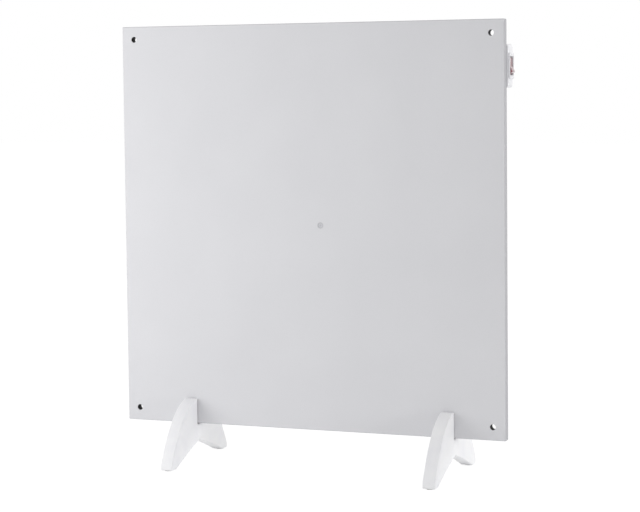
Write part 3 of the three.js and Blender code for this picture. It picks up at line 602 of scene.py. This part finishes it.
foot_plastic = make_moulded_material(
    "foot_plastic", plain="F7F7F8", cooler="F1F1F4", edge_highlight_and_wear="FAFAFB",
    roughness=0.42, grain_size=0.35 * mm, grain_depth=0.012 * mm,
)
foot_low, foot_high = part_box("left_foot")
cheek = slot_half + foot_cheek
arch_end = foot_high.y - sole_length
arch = [
    (0, foot_low.z + arch_rise),
    (arch_end * arch_reach_share, foot_low.z + arch_rise * arch_height_share),
    (arch_end, foot_low.z),
]
crown_reach = board_half + (foot_high.y - board_half) * crown_reach_share
crown_height = toe_height + (foot_high.z - toe_height) * crown_height_share
crown = [(cheek, foot_high.z), (crown_reach, crown_height), (foot_high.y, toe_height)]
cuts = [0, cheek, arch_end]
for step in range(1, foot_slices):
    cut = foot_high.y * (1 - (1 - step / foot_slices) ** slice_crowding)
    clear_of_rounding = min(abs(cut - slot_half), foot_high.y - cut) > slice_clearance
    if clear_of_rounding and min(abs(cut - kept) for kept in cuts) > least_slice:
        cuts.append(cut)
left_foot = add_block("left_stand_foot", foot_low, foot_high)
edit(left_foot)
for cut in cuts:
    for side in (-1, 1):
        slice_across((0, side * cut, 0), (0, 1, 0))
for cut in [*cuts, foot_high.y]:
    if cut > cheek:
        pick(left_foot, at_slice(cut, foot_high.z), "VERT")
        bpy.ops.transform.translate(value=(0, 0, curve_height(cut, *crown) - foot_high.z))
    if cut < arch_end:
        pick(left_foot, at_slice(cut, foot_low.z), "VERT")
        bpy.ops.transform.translate(value=(0, 0, curve_height(cut, *arch) - foot_low.z))
slot_low = (foot_low.x - overcut, -slot_half, slot_floor)
slot_high = (foot_high.x + overcut, slot_half, foot_high.z + overcut)
cut_out(left_foot, add_block("slot_form", slot_low, slot_high))
round_edges(left_foot, foot_edge_radius, steps=4, sharper_than=34)
for side in (-1, 1):
    seat = Vector(((foot_low.x + foot_high.x) / 2, side * (foot_high.y - sole_length / 2), 0))
    drill(
        left_foot, pad_radius + pad_play, seat, foot_low.z - overcut, foot_low.z + pad_seat,
        axis="Z", sides=48,
    )
right_foot = repeat(left_foot, "right_stand_foot", middle("right_foot") - middle("left_foot"))
hand_over(left_foot, foot_plastic, "foot_plastic", "heater", "left_foot")
hand_over(right_foot, foot_plastic, "foot_plastic", "heater", "right_foot")


# Slot liners and floor pads
# A soft pale rubber channel grips the board in each slot, and a round pad of the same rubber is
# glued into the underside of each toe and heel. The pads have ring grooves for grip.
pad_ring_step = 1.3 * mm
pad_ring_depth = 0.35 * mm
pad_rounding = 0.5 * mm


def make_rubber_material(name, plain, dusty):
    """Soft rubber: matt, with a faint mottle of dust."""
    material, tree, shader, place = start_material(name, roughness=0.8)
    sizes = {"Grain Size": 0.5 * mm, "Wave Size": 8 * mm}
    grain = add_group(tree, moulding_grain, {"Place": place, **sizes})
    mottle = stretch(tree, grain["Wave"], 0.35, 0.65)
    tone = blend_colours(tree, mottle, colour(plain), colour(dusty))
    rough = stretch(tree, grain["Grain"], 0.3, 0.7, new_low=0.72, new_high=0.9)
    finish_surface(tree, shader, tone, grain["Height"], depth=0.03 * mm, roughness=rough)
    return material


pale_rubber = make_rubber_material("pale_rubber", plain="C6C6C6", dusty="B9B8B5")
for side in ("left", "right"):
    dress(f"{side}_grip_channel", pale_rubber)
pad_low, pad_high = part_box("left_front_floor_pad")
pad_middle = middle("left_front_floor_pad")
pad_reach = (pad_high - pad_low).x / 2
pad = add_rod("floor_pad_left_front", pad_reach, pad_middle, pad_low.z, pad_high.z, "Z", sides=48)
round_edges(pad, pad_rounding, steps=3)
edit(pad)
pick(pad, lambda place, facing: facing.z < -0.999)
for rise in (pad_ring_depth, 0, pad_ring_depth):
    bpy.ops.mesh.inset(thickness=pad_ring_step / 2)
    bpy.ops.transform.translate(value=(0, 0, rise))
    bpy.ops.mesh.inset(thickness=pad_ring_step / 3)
    bpy.ops.transform.translate(value=(0, 0, -rise))
hand_over(pad, pale_rubber, "pale_rubber", "heater", "left_front_floor_pad")
for node in ("left_rear_floor_pad", "right_front_floor_pad", "right_rear_floor_pad"):
    twin = repeat(pad, "floor_pad_" + node.replace("_floor_pad", ""), middle(node) - pad_middle)
    hand_over(twin, pale_rubber, "pale_rubber", "heater", node)


# Switch box
# A white moulded tub screwed to the back slab near the right edge. Its four corners are well
# rounded, the back has a shallow sunk panel and four sunk screws, and a fine shadow groove runs
# round it by the board.
box_corner = 4.0 * mm
box_crown = 1.5 * mm
box_wall = 2.2 * mm
groove_from_board = 1.6 * mm
groove_width = 0.7 * mm
groove_depth = 0.4 * mm
panel_margin = 12.0 * mm
panel_corner = 3.0 * mm
panel_depth = 0.5 * mm
window_gap = 0.3 * mm
well_width = 18.4 * mm
well_height = 29.0 * mm
boss_radius = 4.0 * mm
boss_overlap = 0.1 * mm
pan_height = 2.0 * mm
gland_neck = 6.0 * mm


def ease(piece, wanted, radius, steps):
    """Rounds the edges that pass the test, on the piece that is in edit mode."""
    pick(piece, wanted, "EDGE")
    bpy.ops.mesh.bevel(offset=radius, segments=steps, affect="EDGES")


def front_to_back(place, direction):
    return abs(direction.y) > 0.9


white_plastic = make_moulded_material(
    "white_plastic", plain="EDEDEF", cooler="E4E4E8", edge_highlight_and_wear="F3F3F4",
    roughness=0.4, grain_size=0.45 * mm, grain_depth=0.015 * mm,
)
tub_low, tub_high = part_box("switch_box")
tub_middle = middle("switch_box")
tub = add_block("switch_tub", tub_low, tub_high)
edit(tub)
ease(tub, front_to_back, box_corner, steps=8)
ease(tub, lambda place, direction: place.y > tub_high.y - hair, box_crown, steps=4)
groove_start = tub_low.y + groove_from_board
groove_middle = groove_start + groove_width / 2
for cut in (groove_start, groove_start + groove_width):
    slice_across((0, cut, 0), (0, 1, 0))
pick(tub, lambda place, facing: abs(place.y - groove_middle) < hair and abs(facing.y) < 0.5)
bpy.ops.mesh.extrude_region_shrink_fatten(TRANSFORM_OT_shrink_fatten={"value": -groove_depth})
panel = add_block(
    "sunk_panel_form",
    (tub_low.x + panel_margin, tub_high.y - panel_depth, tub_low.z + panel_margin),
    (tub_high.x - panel_margin, tub_high.y + overcut, tub_high.z - panel_margin),
)
edit(panel)
ease(panel, front_to_back, panel_corner, steps=6)
cut_out(tub, panel)
pan_low, pan_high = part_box("box_screw_upper_outer")
pan_radius = (pan_high - pan_low).x / 2
tub_corners = ("upper_outer", "upper_inner", "lower_outer", "lower_inner")
screw_places = [middle(f"box_screw_{corner}") for corner in tub_corners]
sink_floor = tub_high.y - pan_height
for place in screw_places:
    drill(tub, pan_radius + window_gap, place, sink_floor, tub_high.y + overcut, sides=40)
hollow = add_block(
    "tub_hollow",
    (tub_low.x + box_wall, tub_low.y - overcut, tub_low.z + box_wall),
    (tub_high.x - box_wall, tub_high.y - box_wall, tub_high.z - box_wall),
)
edit(hollow)
ease(hollow, front_to_back, box_corner - box_wall, steps=4)
cut_out(tub, hollow)
boss_end = tub_high.y - box_wall + boss_overlap
for place in screw_places:
    cut_out(tub, add_rod("screw_boss", boss_radius, place, tub_low.y, boss_end, sides=40), "UNION")
switch_middle = Vector((tub_high.x, tub_middle.y, tub_middle.z))
window_reach = Vector((box_wall + overcut, well_width / 2 + window_gap, well_height / 2 + window_gap))
cut_out(tub, add_block("window_form", switch_middle - window_reach, switch_middle + window_reach))
gland_low, gland_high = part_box("cable_gland")
gland_middle = middle("cable_gland")
drill(
    tub, gland_neck + window_gap, gland_middle, tub_low.z - overcut, tub_low.z + box_wall + overcut,
    axis="Z", sides=48,
)
hand_over(tub, white_plastic, "white_plastic", "heater", "switch_box")

# Four zinc-plated pan-head screws hold the tub: domed heads with a cross recess.
pan_shank = 1.6 * mm
pan_rounding = 1.3 * mm
pan_tip_share = 0.4
pan_middle = screw_places[0]
shank_length = pan_high.y - pan_low.y - pan_height
pan_screw = add_rod(
    "tub_screw_upper_outer", pan_radius, pan_middle, pan_high.y - pan_height, pan_high.y, sides=40
)
edit(pan_screw)
ease(pan_screw, lambda place, direction: place.y > pan_high.y - hair, pan_rounding, steps=5)
cut_cross(pan_screw, Vector((pan_middle.x, pan_high.y, pan_middle.z)), 1)
edit(pan_screw)
pick(pan_screw, lambda place, facing: facing.y < -0.99)
bpy.ops.mesh.inset(thickness=pan_radius - pan_shank)
bpy.ops.mesh.extrude_region_move(TRANSFORM_OT_translate={"value": (0, -shank_length, 0)})
bpy.ops.transform.resize(value=(pan_tip_share, 1, pan_tip_share), center_override=tuple(pan_middle))
hand_over(pan_screw, zinc_steel, "steel", "heater", "box_screw_upper_outer")
for corner in tub_corners[1:]:
    twin = repeat(pan_screw, f"tub_screw_{corner}", middle(f"box_screw_{corner}") - pan_middle)
    hand_over(twin, zinc_steel, "steel", "heater", f"box_screw_{corner}")


# Switch body
# The rocker switch snaps into the tub's outer wall. Its off-white flange has a softened front
# edge, the window in it is where the rocker stands out, and the well behind holds the rocker's
# pin and the two blades.
flange_width = 23.0 * mm
flange_height = 36.4 * mm
flange_corner = 2.5 * mm
flange_softening = 0.7 * mm
window_width = 16.2 * mm
window_height = 26.8 * mm
window_softening = 0.3 * mm
well_setback = 1.0 * mm
well_floor = 2.0 * mm
snap_rise = 1.0 * mm
snap_length = 5.0 * mm
snap_width = 8.0 * mm


def add_switch_block(name, back, front, width, height):
    """A block that is centred on the switch, from back to front along X."""
    return add_block(
        name,
        (back, switch_middle.y - width / 2, switch_middle.z - height / 2),
        (front, switch_middle.y + width / 2, switch_middle.z + height / 2),
    )


def in_flange_front(place, direction):
    return place.x > body_high.x - hair


def round_window(place, direction):
    in_width = abs(place.y - switch_middle.y) < window_width / 2 + hair
    in_height = abs(place.z - switch_middle.z) < window_height / 2 + hair
    return in_flange_front(place, direction) and in_width and in_height


body_low, body_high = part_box("switch_body")
switch_frame = add_switch_block(
    "switch_frame", switch_middle.x, body_high.x, flange_width, flange_height
)
edit(switch_frame)
ease(switch_frame, lambda place, direction: abs(direction.x) > 0.9, flange_corner, steps=8)
ease(switch_frame, in_flange_front, flange_softening, steps=4)
well = add_switch_block(
    "switch_well", body_low.x, body_high.x - well_setback, well_width, well_height
)
cut_out(switch_frame, well, "UNION")
snap_front = switch_middle.x - box_wall - window_gap
snap_back = snap_front - snap_length
for end in (-1, 1):
    face = switch_middle.z + end * well_height / 2
    wedge = add_block(
        "snap_wedge",
        (snap_back, switch_middle.y - snap_width / 2, face - snap_rise),
        (snap_front, switch_middle.y + snap_width / 2, face + snap_rise),
    )
    edit(wedge)
    pick(wedge, lambda place, facing: place.x < snap_back + hair and (place.z - face) * end > 0, "VERT")
    bpy.ops.transform.translate(value=(0, 0, -end * snap_rise))
    cut_out(switch_frame, wedge, "UNION")
window = add_switch_block(
    "switch_window", body_low.x + well_floor, body_high.x + overcut, window_width, window_height
)
cut_out(switch_frame, window)
edit(switch_frame)
ease(switch_frame, round_window, window_softening, steps=2)
switch_plastic = make_moulded_material(
    "switch_frame_plastic", plain="E8E8EA", cooler="E0E0E3", edge_highlight_and_wear="EEEEEF",
    roughness=0.38, grain_size=0.4 * mm, grain_depth=0.01 * mm,
)
hand_over(switch_frame, switch_plastic, "white_plastic", "heater", "switch_body")

# Steel pin and brass blades stay as the frame has them.
rolled_brass = make_metal_material("rolled_brass", bright="D8B865", dull="A98338", roughness=0.36)
dress("rocker_pin", zinc_steel)
for node in ("switch_blade_upper", "switch_blade_lower"):
    dress(node, rolled_brass)


# Rocker
# A dark red polished plastic rocker turns on the pin and stands out at its lower end, because
# its upper end is pressed in. It is a slice of a round bar with two flat thumb faces, marked with
# the usual bar and ring in white paint.
rocker_radius = 13.0 * mm
rocker_face = 6.0 * mm
rocker_tilt = math.radians(11)
rocker_skirt = 2.0 * mm
rocker_stem = 4.6 * mm
rocker_stem_half = 1.6 * mm
rocker_softening = 0.55 * mm
rocker_edge_highlight_reach = 0.5 * mm
mark_place = 6.8 * mm
mark_size = 2.3 * mm
mark_stroke = 0.38 * mm
bar_raise = 0.05 * mm
bar_sink = 0.3 * mm
bar_rounding = 0.1 * mm
ring_thickness = 0.35 * mm
ring_sink = 0.125 * mm
ring_rounding = 0.08 * mm

pivot = Vector(frame["joints"][0]["pos_m"])
rocker_low, rocker_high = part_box("rocker")
outward = Vector((math.cos(rocker_tilt), 0, math.sin(rocker_tilt)))
upward = Vector((-math.sin(rocker_tilt), 0, math.cos(rocker_tilt)))
proud_face = Vector((math.cos(2 * rocker_tilt), 0, math.sin(2 * rocker_tilt)))
proud_down = Vector((proud_face.z, 0, -proud_face.x))
rocker = add_rod(
    "switch_rocker_key", rocker_radius, pivot, rocker_low.y, rocker_high.y, sides=128
)
notch = add_block(
    "thumb_notch",
    (pivot.x + rocker_face, rocker_low.y - overcut, pivot.z - 2 * rocker_radius),
    (pivot.x + 2 * rocker_radius, rocker_high.y + overcut, pivot.z + 2 * rocker_radius),
)
edit(notch)
slice_across(pivot + proud_face * rocker_face, proud_face, trim=True)
cut_out(rocker, notch)
edit(rocker)
slice_across(pivot - outward * rocker_skirt, outward, trim=True)
for side in (-1, 1):
    slice_across(pivot + upward * side * rocker_stem_half, upward)


def under_stem(place, facing):
    return facing.dot(outward) < -0.99 and abs((place - pivot).dot(upward)) < rocker_stem_half


pick(rocker, under_stem)
bpy.ops.mesh.extrude_region_move(TRANSFORM_OT_translate={"value": -outward * rocker_stem})
bpy.ops.mesh.select_all(action="SELECT")
bpy.ops.mesh.normals_make_consistent(inside=False)
round_edges(rocker, rocker_softening, steps=4, sharper_than=25)


def make_rocker_material():
    """Dark red plastic under a clear polish, with the flow marks of the mould and a painted highlight
    along its edges.
    """
    material, tree, shader, place = start_material("rocker_red", roughness=0.24)
    shader.inputs["Coat Weight"].default_value = 1.0
    shader.inputs["Coat Roughness"].default_value = 0.08
    sizes = {"Grain Size": 0.6 * mm, "Wave Size": 5 * mm}
    grain = add_group(tree, moulding_grain, {"Place": place, **sizes})
    edge = add_group(tree, eased_edges, {"Radius": rocker_edge_highlight_reach})
    flow = stretch(tree, grain["Wave"], 0.35, 0.65)
    flowed = blend_colours(tree, flow, colour("6E1D30"), colour("7C2538"))
    # The lighter red along the edges is a painted highlight.
    tone = blend_colours(tree, edge["Edge"], flowed, colour("A8505F"))
    rough = stretch(tree, grain["Grain"], 0.3, 0.7, new_low=0.2, new_high=0.32)
    finish_surface(tree, shader, tone, grain["Height"], depth=0.006 * mm, roughness=rough)
    return material


hand_over(rocker, make_rocker_material(), "red_rocker", "switch_rocker", "rocker")

mark_white = make_moulded_material(
    "mark_paint", plain="ECECEC", cooler="DEDEDE", edge_highlight_and_wear="F2F2F2",
    roughness=0.5, grain_size=0.3 * mm, grain_depth=0.02 * mm,
)
bar_centre = pivot + Vector((rocker_face, 0, mark_place))
bar_mark = add_block(
    "rocker_bar_mark",
    bar_centre - Vector((bar_sink, mark_stroke, mark_size)),
    bar_centre + Vector((bar_raise, mark_stroke, mark_size)),
)
round_edges(bar_mark, bar_rounding, steps=2)
hand_over(bar_mark, mark_white, "red_rocker", "switch_rocker")
ring_centre = pivot + proud_face * (rocker_face - ring_sink) + proud_down * mark_place
ring_forms = ((mark_size + mark_stroke, ring_thickness), (mark_size - mark_stroke, overcut))
rings = []
for radius, thickness in ring_forms:
    clear_selection()
    bpy.ops.mesh.primitive_cylinder_add(
        vertices=64,
        radius=radius,
        depth=thickness,
        location=ring_centre,
        rotation=(0, math.pi / 2 - 2 * rocker_tilt, 0),
    )
    rings.append(settle("rocker_ring_mark"))
cut_out(*rings)
round_edges(rings[0], ring_rounding, steps=2)
hand_over(rings[0], mark_white, "red_rocker", "switch_rocker")


# Cable gland
# A white nylon gland in the tub's underside: a six-sided collar against the wall, and a domed nut
# with finger flutes that tapers to its mouth, where a black rubber seal lines the bore.
collar_height = 4.0 * mm
collar_across = 17.0 * mm
collar_rounding = 0.5 * mm
dome_radius = 7.2 * mm
dome_mouth = 5.2 * mm
dome_bend = 0.5
dome_levels = (0.36, 0.24, 0.12)
gland_flutes = 12
flute_border = 0.12 * mm
flute_depth = 0.45 * mm
gland_bore = 3.6 * mm
seal_rim = 0.9 * mm
seal_length = 5.0 * mm
seal_play = 0.05 * mm
seal_recess = 0.6 * mm
seal_end_gap = 0.1 * mm
seal_lip = 0.4 * mm
seal_rounding = 0.3 * mm

collar_low = tub_low.z - collar_height
collar_radius = collar_across / math.sqrt(3)
collar = add_rod(
    "cable_gland_body", collar_radius, gland_middle, collar_low, tub_low.z, axis="Z", sides=6
)
round_edges(collar, collar_rounding, steps=3)
neck = add_rod("gland_neck_form", gland_neck, gland_middle, collar_low - overcut, gland_high.z, "Z")
cut_out(collar, neck, "UNION")
dome = add_rod(
    "gland_dome_form", dome_radius, gland_middle, gland_low.z, collar_low, "Z", sides=4 * gland_flutes
)
edit(dome)
dome_length = collar_low - gland_low.z
for share in (dome_bend, *dome_levels):
    slice_across((0, 0, gland_low.z + share * dome_length), (0, 0, 1))
for share in (*dome_levels, 0.0):
    level = gland_low.z + share * dome_length
    pick(dome, lambda place, facing: abs(place.z - level) < hair, "VERT")
    fullness = math.sin(math.pi / 2 * share / dome_bend)
    ratio = (dome_mouth + (dome_radius - dome_mouth) * fullness) / dome_radius
    bpy.ops.transform.resize(value=(ratio, ratio, 1), center_override=tuple(gland_middle))


def in_flute(place, facing):
    flute_angle = 2 * math.pi / gland_flutes
    around = math.atan2(place.y - gland_middle.y, place.x - gland_middle.x) % flute_angle
    straight = place.z > gland_low.z + dome_bend * dome_length and abs(facing.z) < 0.3
    return straight and around < flute_angle / 4


pick(dome, in_flute)
bpy.ops.mesh.inset(thickness=flute_border, use_individual=True)
bpy.ops.transform.shrink_fatten(value=-flute_depth)
cut_out(collar, dome, "UNION")
drill(collar, gland_bore, gland_middle, gland_low.z - overcut, gland_high.z + overcut, "Z")
seat_radius = gland_bore + seal_rim
drill(collar, seat_radius, gland_middle, gland_low.z - overcut, gland_low.z + seal_length, "Z")
hand_over(collar, white_plastic, "white_plastic", "heater", "cable_gland")
seal = add_rod(
    "cable_gland_seal",
    seat_radius - seal_play,
    gland_middle,
    gland_low.z + seal_recess,
    gland_low.z + seal_length - seal_end_gap,
    axis="Z",
)
drill(seal, gland_bore - seal_lip, gland_middle, gland_low.z - overcut, gland_high.z, "Z")
round_edges(seal, seal_rounding, steps=3)
black_rubber = make_rubber_material("seal_rubber", plain="1E1E20", dusty="29292B")
hand_over(seal, black_rubber, "black_plastic", "heater")
dress("gland_nut", white_plastic)


# Heating element
# Inside the board: a wire of oxidised nickel-chrome alloy laid to and fro, a mineral felt mat and
# a crinkled foil behind it, and the two steel studs that bring the wire's ends out.
felt_pale = "D8D1BE"
felt_dark = "BFB59C"
felt_fibre = 1.2 * mm
fibre_slimness = 0.12
fibre_angles = (0.4, 1.9)
foil_bright = "DEE0E2"
foil_crease_shade = "C2C5C8"
foil_crease = 14.0 * mm
crease_share = 0.08

nichrome = make_metal_material(
    "oxidised_wire", bright="9A948E", dull="6E6660", roughness=0.48, tooth_size=0.2 * mm
)
dress("heating_wire", nichrome)
for node in ("element_stud_upper", "element_stud_lower"):
    dress(node, zinc_steel)


def make_felt_material():
    """Pressed mineral fibre: short fibres that cross, and no shine."""
    material, tree, shader, place = start_material("mineral_felt", roughness=0.95)
    across, along = 1 / felt_fibre, fibre_slimness / felt_fibre
    fibres = []
    for angle in fibre_angles:
        turned = add_node(tree, "ShaderNodeMapping", {"Vector": place})
        turned.inputs["Rotation"].default_value = (0, angle, 0)
        turned.inputs["Scale"].default_value = (across, across, along)
        laid = {"Vector": turned.outputs[0], "Scale": 1.0, "Detail": 2.0}
        fibres.append(add_node(tree, "ShaderNodeTexNoise", laid).outputs["Fac"])
    crossed = work_out(tree, "MAXIMUM", *fibres)
    mask = stretch(tree, crossed, 0.45, 0.75)
    tone = blend_colours(tree, mask, colour(felt_dark), colour(felt_pale))
    finish_surface(tree, shader, tone, crossed, depth=0.2 * mm)
    return material


def make_foil_material():
    """Soft aluminium foil with a net of creases that catch the light, painted darker along them as
    painted shade.
    """
    material, tree, shader, place = start_material("crinkled_foil", roughness=0.22, metallic=1.0)
    cells = {"Vector": place, "Scale": 1 / foil_crease}
    crease = add_node(tree, "ShaderNodeTexVoronoi", cells, feature="DISTANCE_TO_EDGE")
    ridge = stretch(tree, crease.outputs["Distance"], 0.0, crease_share, new_low=1.0, new_high=0.0)
    # The creases are painted darker: painted shade.
    tone = blend_colours(tree, ridge, colour(foil_bright), colour(foil_crease_shade))
    rough = stretch(tree, ridge, 0.0, 1.0, new_low=0.18, new_high=0.4)
    finish_surface(tree, shader, tone, ridge, depth=0.15 * mm, roughness=rough)
    return material


dress("insulation_mat", make_felt_material())
dress("reflector_foil", make_foil_material())


# Wiring in the tub
# A three-pole block moulded in cream melamine, a bimetal cut-out with a black cap, and four
# stranded leads in brown and blue silicone, on which lighter patches of painted sheen stand for the
# twist of the strands.
lead_twist = 2.2 * mm

melamine = make_moulded_material(
    "cream_melamine", plain="DDD6C2", cooler="D2CAB3", edge_highlight_and_wear="E4DECD",
    roughness=0.46, grain_size=0.4 * mm, grain_depth=0.012 * mm,
)
phenolic = make_moulded_material(
    "black_phenolic", plain="1B1B1D", cooler="232326", edge_highlight_and_wear="38383A",
    roughness=0.5, grain_size=0.35 * mm, grain_depth=0.02 * mm,
)
dress("terminal_block", melamine)
dress("thermal_cutout", phenolic)


def make_lead_material(name, plain, lit):
    """Silicone insulation: satin, with lighter patches of painted sheen for the twist of the strands.
    """
    material, tree, shader, place = start_material(name, roughness=0.5)
    sizes = {"Grain Size": 0.3 * mm, "Wave Size": lead_twist}
    grain = add_group(tree, moulding_grain, {"Place": place, **sizes})
    strand_sheen = stretch(tree, grain["Wave"], 0.35, 0.65)
    # The lighter colour is a painted sheen.
    tone = blend_colours(tree, strand_sheen, colour(plain), colour(lit))
    rough = stretch(tree, grain["Grain"], 0.3, 0.7, new_low=0.42, new_high=0.58)
    finish_surface(tree, shader, tone, grain["Height"], depth=0.05 * mm, roughness=rough)
    return material


brown_silicone = make_lead_material("brown_silicone", plain="4A2C1A", lit="5F3C27")
blue_silicone = make_lead_material("blue_silicone", plain="27497E", lit="345C96")
for node in ("lead_supply_to_switch", "lead_switch_to_cutout", "lead_cutout_to_wire"):
    dress(node, brown_silicone)
dress("lead_wire_to_supply", blue_silicone)


# Studio
# A wide white floor under an even white sky. A soft lamp to the left shades the board gently from
# left to right, one far to the right fills the feet's side faces, and one behind lights the back.
floor_reach = 14.0
floor_tone = 0.96
floor_glow = 1.13
floor_glow_share = 0.8
sky_strength = 0.54


def seen_directly(tree):
    """1 for the camera's own rays and those that a shiny or clear part sends on, otherwise 0."""
    rays = add_node(tree, "ShaderNodeLightPath").outputs
    seen = work_out(tree, "MAXIMUM", rays["Is Camera Ray"], rays["Is Glossy Ray"])
    return work_out(tree, "MAXIMUM", seen, rays["Is Transmission Ray"])


clear_selection()
bpy.ops.mesh.primitive_plane_add(size=2 * floor_reach)
floor = settle("studio_floor")
floor_paper = bpy.data.materials.new("floor_paper")
floor_paper.use_nodes = True
tree = floor_paper.node_tree
tree.nodes.clear()
glow_share = work_out(tree, "MULTIPLY", seen_directly(tree), floor_glow_share)
matt = add_node(tree, "ShaderNodeBsdfDiffuse", {"Color": (floor_tone, floor_tone, floor_tone, 1)})
glow = add_node(tree, "ShaderNodeEmission", {"Color": (1, 1, 1, 1), "Strength": floor_glow})
mixed = add_node(tree, "ShaderNodeMixShader", {0: glow_share, 1: matt.outputs[0], 2: glow.outputs[0]})
add_node(tree, "ShaderNodeOutputMaterial", {"Surface": mixed.outputs[0]})
floor.data.materials.append(floor_paper)

sky = bpy.data.worlds.new("studio_sky")
bpy.context.scene.world = sky
sky.use_nodes = True
tree = sky.node_tree
tree.nodes.clear()
strength = stretch(tree, seen_directly(tree), 0.0, 1.0, new_low=sky_strength)
air = add_node(tree, "ShaderNodeBackground", {"Color": (1, 1, 1, 1), "Strength": strength})
add_node(tree, "ShaderNodeOutputWorld", {"Surface": air.outputs[0]})


def hang_lamp(name, place, aim, size, power):
    """A round lamp of the given size across, turned to its aim, that no view or gloss shows."""
    bpy.ops.object.light_add(type="AREA", location=place)
    lamp = bpy.context.object
    lamp.name = name
    lamp.data.shape = "DISK"
    lamp.data.size = size
    lamp.data.energy = power
    lamp.rotation_euler = (Vector(aim) - Vector(place)).to_track_quat("-Z", "Y").to_euler()
    lamp.visible_camera = False
    lamp.visible_glossy = False


hang_lamp("key_lamp", place=(-0.85, -0.8, 0.45), aim=(-0.1, 0, 0.3), size=1.2, power=6.3)
hang_lamp("fill_lamp", place=(4.8, -0.9, 0.35), aim=(0, 0, 0.2), size=2.0, power=74.0)
hang_lamp("back_lamp", place=(1.5, 2.8, 1.8), aim=(0, 0, 0.2), size=2.2, power=43.0)

bpy.context.scene.view_settings.view_transform = "Standard"
